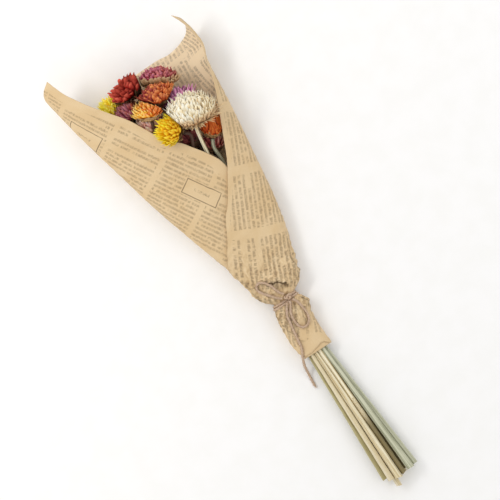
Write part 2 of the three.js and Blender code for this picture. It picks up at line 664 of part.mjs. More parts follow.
// Short dry bracts under the petals, round the cup that the stem carries
function calyxGeometry(index) {
  const shape = shapeOfHead(index);
  const top = -2 * CLEARANCE;
  const cup = placedCore([
    [0, -CALYX_DEPTH], [STEM_TOP_RADIUS + 0.2, -CALYX_DEPTH],
    [0.3 * shape.radius, -0.55 * CALYX_DEPTH], [0.42 * shape.radius, top], [0, top],
  ], shape.stand);
  const pieces = [cup];
  const bract = {
    root: [0.2, (-0.6 * CALYX_DEPTH) / shape.depth],
    middle: [0.44, (-0.5 * CALYX_DEPTH) / shape.depth],
    tip: [0.62, -0.75 / shape.depth],
    width: 0.4,
  };
  for (let k = 0; k < CALYX_BRACTS; k += 1) {
    const angle = (2 * Math.PI * (k + 0.3)) / CALYX_BRACTS;
    pieces.push(petalGeometry(bract, angle, shape, 0));
  }
  const back = headAxes(shape.head).along.negate();
  return trimmedHead(pieces, shape, back, CLEARANCE, 0);
}

// Turns of twine round the tie, and the knot on them
function tieGeometry() {
  const rise = TWINE_DIAMETER / 2 + CLEARANCE + TIE_SLACK;
  const points = [];
  const total = TIE_TURNS * TIE_STEPS;
  for (let i = 0; i <= total; i += 1) {
    const degrees = 75 + (360 * TIE_TURNS * i) / total;
    const y = TIE_START_Y + (TIE_PITCH * TIE_TURNS * i) / total;
    points.push(sectionPoint(y, degrees, outerInset(y, degrees % 360) - rise));
  }
  const radii = points.map(() => TWINE_DIAMETER / 2);
  const turns = rodGeometry(points, radii, STEM_SIDES, new THREE.Vector3(0, 1, 0));
  const knot = new THREE.SphereGeometry(1, 8, 6).scale(...KNOT_SIZE);
  knot.translate(...KNOT_AT, abovePaper(...KNOT_AT, KNOT_SIZE[2] + CLEARANCE));
  return joined([turns, knot]);
}

// A free length of twine along a route
function twineGeometry(route) {
  const section = new THREE.Shape();
  section.absarc(0, 0, TWINE_DIAMETER / 2, 0, 2 * Math.PI);
  const curve = new THREE.CatmullRomCurve3(route, false, 'centripetal');
  const steps = Math.round(curve.getLength() / (TWINE_STEP * TWINE_DIAMETER));
  return new THREE.ExtrudeGeometry(section, { extrudePath: curve, steps, curveSegments: 4 });
}

const onPaper = (route) => route.map(([x, y, rise]) => new THREE.Vector3(x, y, abovePaper(x, y, rise)));

const bouquet = new THREE.Group();

function addMesh(name, geometry, colour, roughness) {
  const material = new THREE.MeshStandardMaterial({ color: colour, roughness, metalness: 0 });
  const mesh = new THREE.Mesh(geometry, material);
  mesh.name = name;
  bouquet.add(mesh);
  return mesh;
}

addMesh('paper_wrap', paperGeometry(), KRAFT, 0.85);
HEADS.forEach((head, index) => {
  const line = stemLine(head);
  const stem = rodGeometry(line.points, line.radii, STEM_SIDES, new THREE.Vector3(0, 0, 1));
  addMesh(`stem_${head.name}`, stem, STEMS[head.stem].colour, 0.8);
  addMesh(`calyx_${head.name}`, calyxGeometry(index), TAN, 0.9);
  addMesh(`bloom_${head.name}`, bloomGeometry(index), head.petals, 0.7);
});

// The box that the origin is taken from holds everything but the free twine
const box = new THREE.Box3().setFromObject(bouquet);
addMesh('twine_tie', tieGeometry(), TWINE, 0.95);
addMesh('twine_loop_left', twineGeometry(onPaper(LEFT_LOOP)), TWINE, 0.95);
addMesh('twine_loop_right', twineGeometry(onPaper(RIGHT_LOOP)), TWINE, 0.95);
const tail = [...onPaper(TAIL_ON_PAPER), ...TAIL_FALL.map((point) => new THREE.Vector3(...point))];
addMesh('twine_end', twineGeometry(tail), TWINE, 0.95);

const centre = box.getCenter(new THREE.Vector3());
bouquet.position.set(-centre.x, -centre.y, -box.min.z);

export default bouquet;
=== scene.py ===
"""Dried strawflower bouquet in printed kraft paper, tied with jute twine, lying on its back."""
import math
from collections import namedtuple

import bpy
import numpy as np
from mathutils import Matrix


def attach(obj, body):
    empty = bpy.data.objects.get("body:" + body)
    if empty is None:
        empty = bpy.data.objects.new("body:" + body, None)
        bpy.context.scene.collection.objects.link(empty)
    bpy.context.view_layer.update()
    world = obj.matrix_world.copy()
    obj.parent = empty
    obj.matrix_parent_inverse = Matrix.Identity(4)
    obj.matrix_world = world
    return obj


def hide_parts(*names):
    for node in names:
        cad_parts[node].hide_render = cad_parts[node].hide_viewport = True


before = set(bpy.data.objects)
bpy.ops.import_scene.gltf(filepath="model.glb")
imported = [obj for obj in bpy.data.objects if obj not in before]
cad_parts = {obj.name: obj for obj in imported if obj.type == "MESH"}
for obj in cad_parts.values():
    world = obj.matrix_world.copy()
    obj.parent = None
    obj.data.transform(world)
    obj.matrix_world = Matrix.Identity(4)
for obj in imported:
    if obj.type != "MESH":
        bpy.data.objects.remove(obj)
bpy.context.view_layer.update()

scene = bpy.context.scene
MM = 0.001
# Moves the bouquet's own axes (+Y from the cut stems to the flowers, mm) into the frame
ORIGIN = np.array([4.139, -196.231, 0.0])


def to_frame(points):
    """Points in the bouquet's own axes, in mm, as points of the frame in metres."""
    return (np.asarray(points, float) + ORIGIN) * MM


def new_object(name, data):
    """A new object in the scene."""
    made = bpy.data.objects.new(name, data)
    scene.collection.objects.link(made)
    return made


# Camera

CAMERA_TARGET = (-0.5, 206.8, 0.0)
CAMERA_HEIGHT = 6.0
CAMERA_TURN = -34.0
# Width of the picture, at so great a height above the floor, in metres
FRAME_WIDTH = 0.3815
FRAME_HEIGHT = 0.02
SENSOR = 36.0

camera_data = bpy.data.cameras.new("camera")
camera_data.sensor_width = SENSOR
camera_data.lens = SENSOR * CAMERA_HEIGHT / FRAME_WIDTH
camera_data.clip_end = 20
camera = new_object("camera", camera_data)
target = to_frame(CAMERA_TARGET)
camera.location = (target[0], target[1], CAMERA_HEIGHT + FRAME_HEIGHT)
camera.rotation_euler = (0, 0, math.radians(CAMERA_TURN))
scene.camera = camera


# The wrap's section, as in the CAD source but for the lower part of one free edge

def profile(points):
    """Smooth curve of one value along another, with no overshoot between its points."""
    at, value = np.array([*points.items()], float).T
    slope = np.diff(value) / np.diff(at)
    tangent = np.concatenate([slope[:1], slope[1:], slope[-1:]])
    for i in range(1, len(slope)):
        product = slope[i - 1] * slope[i]
        tangent[i] = 0 if product <= 0 else 2 * product / (slope[i - 1] + slope[i])

    def curve(x):
        x = np.clip(x, at[0], at[-1])
        i = np.clip(np.searchsorted(at, x, side="right") - 1, 0, len(at) - 2)
        step = at[i + 1] - at[i]
        t = (x - at[i]) / step
        rise = value[i + 1] - value[i]
        start = (1 - t) * (tangent[i] * step - rise)
        end = t * (tangent[i + 1] * step - rise)
        return value[i] + rise * t + t * (1 - t) * (start - end)

    return curve


SPINE_X = 0.8
left_side = profile({
    112: -13.3, 131: -15, 146: -13.7, 154: -12.2, 161: -10.3, 168: -14.7, 176: -17.3, 188: -20.3,
    208: -26.2, 240: -35.4, 272: -44.1, 312: -53, 352: -61.5, 388: -67.6, 399: -69})
right_side = profile({
    112: 12.4, 130: 12, 142: 12.8, 152: 15.4, 161: 11.5, 168: 19.6, 176: 23.7, 188: 27.6, 208: 33.6,
    237: 39.6, 264: 43.6, 312: 50.2, 344: 53.6, 360: 58.2, 370: 57.6, 381: 55.2, 389: 51.5, 399: 48})
height = profile({
    112: 15.4, 131: 15.8, 161: 13.8, 175: 17.4, 200: 21.5, 237: 27, 285: 34, 300: 36.5, 312: 38.5,
    343: 44, 366: 49, 399: 53})
underside = profile({112: 0.1, 140: 0.5, 153: 2.9, 168: 2.9, 185: 0.4, 205: -0.4, 399: -0.4})
roundness = profile({112: 3, 161: 3, 200: 2.7, 237: 2.4, 399: 2.2})
layer_pitch = profile({112: 1.05, 161: 0.98, 185: 1.6, 230: 2, 399: 2})
left_flap_edge = profile({
    112: -60, 165: -60, 185: -30, 229: 51, 275: 68, 287: 77, 296: 84.4, 305: 90.5, 312: 96.5, 327: 103.7,
    340: 109.8, 352: 118, 360: 123.8, 366: 128.2, 376: 134.6, 385: 140, 399: 145})
# Below y 255 this edge lies a little further round than in the CAD source, as in the photo
right_flap_edge = profile({
    112: 600, 165: 600, 185: 572, 197: 534, 204: 508, 214: 481, 223: 466, 239: 451.5, 255: 438.4,
    273: 423.6, 293: 411, 311: 399, 333: 381, 344: 374, 365: 376, 385: 380, 399: 380})
rim = profile({
    0: 399, 0.07: 394, 0.154: 387.5, 0.277: 382, 0.334: 374, 0.378: 363, 0.42: 358, 0.49: 361,
    0.564: 366.7, 0.64: 366.8, 0.69: 365.5, 0.8: 370, 0.87: 377, 1: 388.4})
skirt_hem = profile({
    0: 116, 0.06: 113.6, 0.55: 114.6, 0.66: 113.6, 0.75: 117.8, 0.8: 115.4, 0.86: 115.6, 0.89: 121.5,
    0.92: 127.5, 1: 128})


def section_middle(y):
    """Middle height of the wrap's section at y."""
    layers_under_back = (right_flap_edge(y) - 270) / 360
    return underside(y) + height(y) / 2 - layer_pitch(y) * layers_under_back


def half_width(x, y):
    """Half width of the wrap's section on the side of its spine where x lies."""
    return np.where(x < SPINE_X, SPINE_X - left_side(y), right_side(y) - SPINE_X)


def section_point(y, degrees, inset):
    """Points of the wrap's section at y, so many millimetres inside its outline."""
    angle = np.radians(degrees)
    across, up = np.cos(angle), np.sin(angle)
    power = 2 / roundness(y)
    side = half_width(SPINE_X + across, y) - inset
    x = SPINE_X + side * np.sign(across) * np.abs(across) ** power
    z = section_middle(y) + (height(y) / 2 - inset) * np.sign(up) * np.abs(up) ** power
    return joined(x, y, z)


def layer_inset(y, degrees):
    """Inset of the sheet's outer face: each turn lies inside the next one."""
    return layer_pitch(y) * (right_flap_edge(y) - degrees) / 360


EDGE_EASE = 30
TOP_OF_LAST_TURN = 450


def outer_inset(y, degrees):
    """Inset of the outermost layer at the tie, eased over the free edge under the back."""
    free_edge = right_flap_edge(y) - 360
    eased = layer_inset(y, degrees) * np.minimum((degrees - free_edge) / EDGE_EASE, 1)
    return np.where(degrees < free_edge, layer_inset(y, degrees + 360), eased)


def above_paper(x, y, rise):
    """Height at x, y of a face that lies so far outside the paper's top."""
    share = np.minimum(np.abs(x - SPINE_X) / (half_width(x, y) + rise), 1)
    power = roundness(y)
    lift = (1 - share ** power) ** (1 / power)
    return section_middle(y) + (height(y) / 2 - layer_inset(y, TOP_OF_LAST_TURN) + rise) * lift


# Lines and meshes

def joined(*values):
    """Values side by side along a last axis, each spread to their common shape."""
    return np.stack(np.broadcast_arrays(*values), -1)


def between(low, high, share):
    """The value at so great a share of the way from one to the other."""
    return low + (high - low) * share


def full_turn(count):
    """So many evenly spaced angles round a circle."""
    return np.linspace(0, 2 * np.pi, count, endpoint=False)


def unit(vectors):
    """Vectors of length one in the same directions."""
    return vectors / np.linalg.norm(vectors, axis=-1, keepdims=True)


def smooth_line(points, per_part=24):
    """Centripetal curve through points, with so many points for each part of it."""
    points = np.asarray(points, float)
    padded = np.vstack([2 * points[0] - points[1], points, 2 * points[-1] - points[-2]])
    line = []
    for i in range(len(points) - 1):
        corners = padded[i:i + 4]
        gaps = np.maximum(np.linalg.norm(np.diff(corners, axis=0), axis=1) ** 0.5, 1e-4)
        knots = np.concatenate([[0], np.cumsum(gaps)])
        t = np.linspace(knots[1], knots[2], per_part, endpoint=False)[:, None]

        def blend(first, second, low, high):
            return ((knots[high] - t) * first + (t - knots[low]) * second) / (knots[high] - knots[low])

        start, middle, end = (blend(corners[k], corners[k + 1], k, k + 1) for k in range(3))
        line.append(blend(blend(start, middle, 0, 2), blend(middle, end, 1, 3), 1, 2))
    return np.vstack([*line, points[-1:]])


def length_along(line):
    """Distance from the start of a line to each of its points."""
    return np.concatenate([[0], np.cumsum(np.linalg.norm(np.diff(line, axis=0), axis=1))])


def even_line(line, step):
    """The same line with evenly spaced points."""
    along = length_along(line)
    at = np.linspace(0, along[-1], max(int(round(along[-1] / step)), 2) + 1)
    return np.stack([np.interp(at, along, line[:, k]) for k in range(3)], -1)


def line_frames(line, hint=(0.0, 0.0, 1.0)):
    """Two directions square to a line and to each other, carried along it without a twist."""
    ahead = unit(np.gradient(line, axis=0))
    side = np.zeros_like(ahead)
    side[0] = unit(np.cross(hint, ahead[0]))
    for i in range(1, len(line)):
        side[i] = unit(side[i - 1] - ahead[i] * side[i - 1].dot(ahead[i]))
    return side, np.cross(ahead, side)


def tube(line, side, up, radius):
    """Rings of points round a line, each point so far out from it."""
    turn = full_turn(radius.shape[1])[:, None]
    out = np.cos(turn) * side[:, None] + np.sin(turn) * up[:, None]
    return line[:, None] + radius[..., None] * out


def grid_faces(rows, columns, closed=False):
    """Quads of a grid of points, closed round its columns if asked."""
    last = columns if closed else columns - 1
    row, column = np.meshgrid(np.arange(rows - 1), np.arange(last), indexing="ij")
    a, b = row * columns + column, row * columns + (column + 1) % columns
    return np.stack([a, b, b + columns, a + columns], -1).reshape(-1, 4)


def tube_faces(rows, sides, open_start=False):
    """Faces of a tube of rings, closed at its far end and, unless it is open, at its start."""
    start, end = list(range(sides)), list(range((rows - 1) * sides, rows * sides))
    faces = [*grid_faces(rows, sides, closed=True).tolist(), end]
    return faces if open_start else [*faces, start[::-1]]


def blade_faces(rows, columns):
    """Faces of a thin closed blade: a grid, the same grid behind it, and the edges between them."""
    front = grid_faces(rows, columns)
    behind = rows * columns
    grid = np.arange(behind).reshape(rows, columns)
    border = np.concatenate([grid[0], grid[1:, -1], grid[-1, -2::-1], grid[-2:0:-1, 0]])
    after = np.roll(border, -1)
    edges = np.stack([border, border + behind, after + behind, after], -1)
    return np.vstack([front, front[:, ::-1] + behind, edges])


class Mesh:
    """Collects points, faces and the two sets of surface coordinates of a piece."""

    def __init__(self):
        self.points, self.faces, self.uv, self.tone = [], [], [], []
        self.count = 0

    def add(self, points, faces, uv, tone=(0, 0)):
        points = np.reshape(points, (-1, 3))
        self.points.append(points)
        self.uv.append(np.reshape(uv, (-1, 2)))
        self.tone.append(np.broadcast_to(np.reshape(tone, (-1, 2)), (len(points), 2)))
        self.faces.extend((np.asarray(face) + self.count).tolist() for face in faces)
        self.count += len(points)

    def build(self, name, material, node, slot, **further):
        """The piece, riding on the body, in place of its CAD node."""
        mesh = bpy.data.meshes.new(name)
        points = np.vstack(self.points)
        points[:, 2] = np.maximum(points[:, 2], 0)
        mesh.from_pydata(to_frame(points).tolist(), [], self.faces)
        corners = np.zeros(len(mesh.loops), np.int32)
        mesh.loops.foreach_get("vertex_index", corners)
        layers = {"sheet": np.vstack(self.uv), "tone": np.vstack(self.tone), **further}
        for layer, values in layers.items():
            made = mesh.uv_layers.new(name=layer)
            made.data.foreach_set("uv", values[corners].astype(np.float32).ravel())
        mesh.shade_smooth()
        mesh.materials.append(material)
        piece = new_object(name, mesh)
        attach(piece, "root")
        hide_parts(node)
        return piece


# Materials

def linear(code):
    """Linear colour of a hex code."""
    parts = [int(code[i:i + 2], 16) / 255 for i in (0, 2, 4)]
    return [*(p / 12.92 if p <= 0.04045 else ((p + 0.055) / 1.055) ** 2.4 for p in parts), 1]


def as_node(operation):
    """A Python operator between values that is written as a math node."""
    return lambda value, other: value.shader.math(operation, value, other)


class Value:
    """A node's output; sums, products and comparisons of it are further nodes."""

    __add__, __sub__ = as_node("ADD"), as_node("SUBTRACT")
    __mul__, __truediv__ = as_node("MULTIPLY"), as_node("DIVIDE")
    __gt__, __lt__ = as_node("GREATER_THAN"), as_node("LESS_THAN")

    def __init__(self, shader, socket):
        self.shader, self.socket = shader, socket

    def __rsub__(self, other):
        return self.shader.math("SUBTRACT", other, self)


class Shader:
    """A node material whose nodes are written as function calls."""

    def __init__(self, name, roughness, **sockets):
        self.material = bpy.data.materials.new(name)
        self.material.use_nodes = True
        self.tree = self.material.node_tree
        self.surface = self.tree.nodes["Principled BSDF"]
        for socket, value in {"Roughness": roughness, **sockets}.items():
            self.surface.inputs[socket.replace("_", " ")].default_value = value

    def put(self, socket, value):
        """Links a value to a socket, or sets a number or a hex code on it."""
        if isinstance(value, Value):
            self.tree.links.new(value.socket, socket)
        elif value is not None:
            socket.default_value = linear(value) if isinstance(value, str) else value

    def node(self, kind, inputs=(), **settings):
        made = self.tree.nodes.new(kind)
        for key, value in settings.items():
            setattr(made, key, value)
        for key, value in dict(inputs).items():
            self.put(made.inputs[key], value)
        return made

    def value(self, kind, inputs=(), output=0, **settings):
        return Value(self, self.node(kind, inputs, **settings).outputs[output])

    def math(self, operation, *values, clamp=False):
        return self.value("ShaderNodeMath", enumerate(values), operation=operation, use_clamp=clamp)

    def ramp(self, value, low, high, start=0.0, end=1.0):
        """Smooth step of a value between two limits."""
        inputs = {"Value": value, "From Min": low, "From Max": high, "To Min": start, "To Max": end}
        return self.value("ShaderNodeMapRange", inputs, "Result", interpolation_type="SMOOTHSTEP", clamp=True)

    def colours(self, value, *stops):
        """Colour ramp through (position, hex code) stops."""
        made = self.node("ShaderNodeValToRGB", {0: value})
        elements = made.color_ramp.elements
        while len(elements) < len(stops):
            elements.new(0.5)
        for element, (position, code) in zip(elements, stops):
            element.position = position
            element.color = linear(code)
        return Value(self, made.outputs["Color"])

    def layered(self, colour, *layers):
        """A colour with others laid over it in turn, as (share, colour) pairs."""
        for share, upper in layers:
            colour = self.value("ShaderNodeMix", {0: share, 6: colour, 7: upper}, 2, data_type="RGBA")
        return colour

    def uv(self, layer):
        """The two coordinates of a layer."""
        made = self.node("ShaderNodeSeparateXYZ", {0: self.value("ShaderNodeUVMap", uv_map=layer)})
        return Value(self, made.outputs[0]), Value(self, made.outputs[1])

    def vector(self, *coordinates):
        return self.value("ShaderNodeCombineXYZ", enumerate(coordinates))

    def noise(self, vector, scale, detail=2.0, roughness=0.5, distortion=0.0):
        inputs = {"Vector": vector, "Scale": scale, "Detail": detail, "Roughness": roughness,
                  "Distortion": distortion}
        return self.value("ShaderNodeTexNoise", inputs)

    def streaks(self, coordinates, *settings):
        """Noise over coordinates that are each stretched already."""
        return self.noise(self.vector(*coordinates), 1.0, *settings)

    def speckle(self, scale, *settings):
        """Noise over the piece's own space, with so many spots to the metre."""
        return self.noise(self.value("ShaderNodeTexCoord", output="Object"), scale, *settings)

    def bump(self, height, strength, distance, below=None):
        inputs = {"Height": height, "Strength": strength, "Distance": distance, "Normal": below}
        return self.value("ShaderNodeBump", inputs)

    def finish(self, colour, normal=None):
        self.put(self.surface.inputs["Base Color"], colour)
        self.put(self.surface.inputs["Normal"], normal)
        return self.material


def twine_material():
    s = Shader("jute_twine", 0.9)
    around, along = s.uv("sheet")
    strands = s.streaks((around * 26.0, along * 1.3), 3.0)
    base = s.colours(strands, (0.25, "a0846c"), (0.48, "c6a88c"), (0.72, "e4ccb0"))
    blotches = s.ramp(s.speckle(260.0, 3.0), 0.4, 0.68)
    return s.finish(s.layered(base, (blotches, "cfb49c")), s.bump(strands, 0.7, 0.0004))


# Along a stem, in mm: where its painted shade between the heads begins, and where it is full
PAINTED_SHADE_FROM, PAINTED_SHADE_FULL = 225.0, 300.0


def stem_material(name, dark, middle, light):
    s = Shader(name, 0.62)
    around, along = s.uv("sheet")
    chance, shaded = s.uv("tone")
    shift = chance * 37.0
    ribs = s.streaks((around * 9.0, along * 0.012, shift), 4.0, 0.62)
    patches = s.streaks((around * 1.2, along * 0.05, shift), 2.0)
    stripes = s.streaks((around * 1.7, along * 0.004, shift), 1.0)
    colour = s.layered(
        s.colours(ribs, (0.34, dark), (0.5, middle), (0.68, light)),
        (s.ramp(patches, 0.42, 0.72, 0.0, 0.55), light),
        (s.ramp(stripes, 0.52, 0.6, 0.0, 0.75), light),
        (s.ramp(stripes, 0.44, 0.38, 0.0, 0.5), dark),
        (s.ramp(chance, 0.0, 1.0, 0.0, 0.3), dark),
        # The stretch darkened with painted shade, on stems that lie in the shaded gap, carries a chance above
        # one
        (s.ramp(chance, 1.0, 2.0, 0.0, 0.85), "6e6034"),
        (s.ramp(s.speckle(900.0), 0.66, 0.74, 0.0, 0.5), "8a7448"),
        # Painted shade: the stems darken between the heads, where they lie in shade
        (s.ramp(along, PAINTED_SHADE_FROM, PAINTED_SHADE_FULL) * shaded, "4c301e"))
    return s.finish(colour, s.bump(ribs, 0.55, 0.0005))


# Twine

TWINE = 1.8
TWINE_STEP = 0.42
TWINE_SIDES = 18
PLIES = 3
PLY_TURN = 6.4
# Its radius between its plies, and how much more on them, as shares of its half width
BETWEEN_PLIES, ON_PLIES = 0.78, 0.25
# Uneven waves along it: how high, how fast and from where
UNEVEN_WAVES = ((0.07, 1.7, 0.6), (0.05, 4.1, 0))
FRAYED_LENGTH = 2.0
FRAYED_LEAST = 0.35
NECK_Y = 161
# A loose fibre's bends: how far out and ahead, as shares of its reach, and its half width there
FIBRE_BENDS = ((0, 0, 0.055), (0.5, 0.4, 0.044), (0.75, 1.1, 0.033), (0.7, 1.8, 0.022))
FIBRE_SECTION = ((1, 0), (-0.5, 1), (-0.5, -1))
FIBRE_REACH = (0.35, 1.25)
FLOOR_ROOM = 0.05
random_twine = np.random.default_rng(11)


def rope(mesh, line, diameter=TWINE, hairs=7.0, hint=(0.0, 0.0, 1.0), loose_end=False):
    """A twisted length of twine along a line, with so many loose fibres to the millimetre."""
    line = even_line(line, TWINE_STEP)
    along = length_along(line)[:, None]
    side, up = line_frames(line, hint)
    phase = full_turn(TWINE_SIDES) - (2 * np.pi / PLY_TURN) * along
    ply = np.abs(np.cos(PLIES / 2 * phase)) ** 0.8
    uneven = 1 + sum(size * np.sin(along * rate + start) for size, rate, start in UNEVEN_WAVES)
    radius = diameter / 2 * (BETWEEN_PLIES + ON_PLIES * ply) * uneven
    if loose_end:
        radius *= np.clip((along[-1] - along) / FRAYED_LENGTH, FRAYED_LEAST, 1)
    mesh.add(tube(line, side, up, radius), tube_faces(len(line), TWINE_SIDES),
             joined(phase / (2 * np.pi), along))
    for _ in range(int(hairs * along[-1, 0])):
        fibre(mesh, line, side, up, diameter)


def fibre(mesh, line, side, up, diameter):
    """One thin loose fibre, bent back along the twine."""
    at = random_twine.integers(1, len(line) - 1)
    angle = random_twine.uniform(0, 2 * np.pi)
    out = np.cos(angle) * side[at] + np.sin(angle) * up[at]
    ahead = unit(line[at + 1] - line[at]) * random_twine.choice([-1, 1])
    reach = random_twine.uniform(*FIBRE_REACH)
    root = line[at] + out * diameter * 0.4
    across = np.cross(out, ahead)
    points = np.array([[root + (out * outward + ahead * forward) * reach + (across * a + out * b) * width
                        for a, b in FIBRE_SECTION] for outward, forward, width in FIBRE_BENDS])
    if points[..., 2].min() > FLOOR_ROOM:
        rows, sides = points.shape[:2]
        uv = joined(0.3 * np.arange(sides), 3.0 * np.arange(rows)[:, None])
        mesh.add(points, tube_faces(rows, sides), uv)


def on_paper(route):
    """A route given by x, y and its rise above the paper's top."""
    x, y, rise = np.array(route).T
    return np.stack([x, y, above_paper(x, y, rise)], -1)


TIE_TURNS = 2
TIE_START = 75
TIE_FOLLOW = 0.5
TIE_START_Y = 157.6
TIE_PITCH = 1.98
KNOT_AT = (3.6, 161)
KNOT_SIZE = (3.4, 2.6, 1.7)
KNOT_INSET = 0.8
KNOT_RISE = 0.3
KNOT_TWINE = TWINE * 0.95
TIE_POINTS = 400
KNOT_POINTS = 240
LEFT_LOOP = [
    [2.4, 164.6, 2.3], [0.6, 166.4, 1.8], [-1.2, 170.2, 1.4], [-2.6, 175, 1.3],
    [-5.4, 179.5, 1.3], [-9.2, 182, 1.3], [-12.2, 180.8, 1.3], [-12.8, 177.2, 1.3],
    [-10.4, 173, 1.3], [-7, 168.8, 1.4], [-4.6, 165.8, 1.8], [-2.8, 164, 2.8], [-0.9, 162.4, 3.4]]
RIGHT_LOOP = [
    [5.6, 157.6, 3.4], [6.9, 155.2, 2.3], [8, 152, 1.4], [8.6, 147.6, 1.3], [8.7, 142.2, 1.3],
    [7.2, 137.6, 1.3], [3.6, 135, 1.3], [-0.4, 135.8, 1.3], [-2.4, 139.8, 1.3],
    [-2.6, 145, 1.3], [-1.2, 150.2, 1.4], [0.7, 153.4, 1.9], [2.2, 155.8, 2.8], [3, 157.5, 3.6]]
TAIL_ON_PAPER = [
    [0.4, 157.6, 3.5], [-1.4, 155.2, 2.4], [-3.4, 152.2, 1.4], [-5.2, 148.6, 1.3],
    [-6.1, 143.4, 1.3], [-7.4, 136.4, 1.3], [-8.6, 129, 1.3], [-9.8, 122.6, 1.3]]
TAIL_FALL = [
    [-12.8, 116.6, 13.3], [-14.9, 111.4, 9.6], [-15.9, 106.6, 5.4], [-16.5, 101.4, 2.1],
    [-17.1, 96.4, 1], [-17.4, 91, 1]]

jute = twine_material()
TWINE_LINES = []
for name, route, far_end in (
        ("twine_loop_left", on_paper(LEFT_LOOP), "object"),
        ("twine_loop_right", on_paper(RIGHT_LOOP), "object"),
        ("twine_end", np.vstack([on_paper(TAIL_ON_PAPER), TAIL_FALL]), "bare")):
    line = smooth_line(route)
    TWINE_LINES.append(even_line(line, 1.0))
    twine = Mesh()
    rope(twine, line, loose_end=far_end == "bare")
    piece = twine.build("jute_" + name, jute, name, "jute_twine")
    path = to_frame(even_line(line, TWINE_STEP))
    round(float(length_along(path)[-1]), 4)


# Paper

SHEET_WIDTH = 180.0
SHEET_THICKNESS = 0.3
SHEET_COLUMNS = 200
SHEET_ROWS = 225
# Where along the sheet its rows of points are densest, over what spread, and how much denser
DENSE_AT, DENSE_SPREAD, DENSER = 0.17, 0.11, 1.8
UV_SCALE = 0.01
BACK_FACE_SHIFT = 400.0
random_paper = np.random.default_rng(5)

# Levels and steps of the table that evens the columns out, and how often it is read
TABLE_LEVELS, TABLE_STEPS, TABLE_READINGS = 150, 361, 3
# Levels and angles of the table that rolls the print out flat
PRINT_LEVELS = 120
PRINT_TURN = np.linspace(-90, 630, 241)

# Heights of the folds and of the crumples at each y
fold_height = profile({
    112: 0.4, 128: 0.5, 142: 0.7, 151: 1.1, 156.5: 0.45, 161: 0.2, 165: 0.5, 171: 1.35, 180: 1.15,
    195: 0.65, 220: 0.26, 260: 0.1, 330: 0.04, 399: 0})
crumple_height = profile({
    112: 0.35, 140: 0.6, 152: 1.1, 158: 0.5, 164: 0.6, 172: 1.6, 190: 1.1, 215: 0.6, 250: 0.35, 399: 0.2})
FOLD_COUNT = 15
FOLDS = np.stack([
    np.arange(FOLD_COUNT) * 360 / FOLD_COUNT + random_paper.uniform(-8, 8, FOLD_COUNT),
    random_paper.uniform(0.5, 1.15, FOLD_COUNT),
    random_paper.uniform(3.5, 7, FOLD_COUNT),
    random_paper.uniform(-0.5, 0.5, FOLD_COUNT)], -1)
WAVES = np.stack([
    random_paper.integers(1, 8, 30), random_paper.uniform(-1.3, 1.3, 30),
    random_paper.uniform(0, 2 * np.pi, 30)], -1)
# The folds' mean is taken off them, and with this factor the waves have none
MEAN_FOLD, WAVE_FACTOR = 0.45, 1.57
CRUMPLE_SCALE = 9
# Sharp creases near the tie: from angle and y to angle and y, and how far they stand out
CREASES = [
    ((98, 181), (70, 167.5), 2.2), ((150, 157), (121, 137), 1.7), ((40, 157), (14, 146), 1.5),
    ((62, 155), (80, 136), 1.0), ((118, 167), (138, 183), 1.4), ((26, 166), (46, 186), 1.6),
    ((104, 155), (96, 136), 0.9), ((160, 168), (150, 190), 1.1), ((128, 133), (100, 126), 0.8)]
LARGEST_CREASE = 2.2
CREASE_BACK, CREASE_FRONT = 4.5, 0.7
CREASE_FAR = 20.0
MM_PER_DEGREE = 0.2
CONE_TIP_Y = 84
# Middle of the print on the two flaps round the cone, and its slant, in degrees
LEFT_PRINT = (90, 33)
RIGHT_PRINT = (450, -28)
TIE_PINCH = 1.5
PINCH_LENGTH = 2.2
TIE_SINK = 1.62
# Room of the paper below the twine that lies on it, its slope beside the twine, and how far it counts
TWINE_ROOM = 0.05
TWINE_SLOPE = 0.9
TWINE_REACH = 3
UPPER_SIDE_Z = 8
# How high the free edges curl up, within what distance, from which y on and over what length
LEFT_CURL, RIGHT_CURL = (0.9, 7, 225, 60), (0.7, 6, 190, 40)


def beside_crease(y, degrees, first, second):
    """Share of a crease's strength along it at each point, and the distance aside of it."""
    ahead = np.array([(second[0] - first[0]) * MM_PER_DEGREE, second[1] - first[1]])
    length = np.linalg.norm(ahead)
    ahead = ahead / length
    x, up = ((degrees - first[0] + 180) % 360 - 180) * MM_PER_DEGREE, y - first[1]
    along = (x * ahead[0] + up * ahead[1]) / length
    inside = np.clip(np.minimum(along, 1 - along) * 4 + 0.4, 0, 1)
    return inside, x * -ahead[1] + up * ahead[0]


def crease(y, degrees, first, second, size):
    """One crease: it rises slowly on one side and drops sharply on the other."""
    inside, aside = beside_crease(y, degrees, first, second)
    away = np.where(aside > 0, aside / CREASE_FRONT, -aside / CREASE_BACK)
    return size * inside * np.exp(-away)


def nearest_crease(y, degrees):
    """Distance from the sharp foot of the nearest crease, and how strong the painted shadow is there."""
    away = np.full(y.shape, CREASE_FAR)
    dark = np.zeros_like(away)
    for first, second, size in CREASES:
        inside, aside = beside_crease(y, degrees, first, second)
        aside = np.where(inside > 0, aside - CREASE_FRONT, CREASE_FAR)
        nearer = np.abs(aside) < np.abs(away)
        away = np.where(nearer, aside, away)
        dark = np.where(nearer, inside * size / LARGEST_CREASE, dark)
    return joined(away, dark)


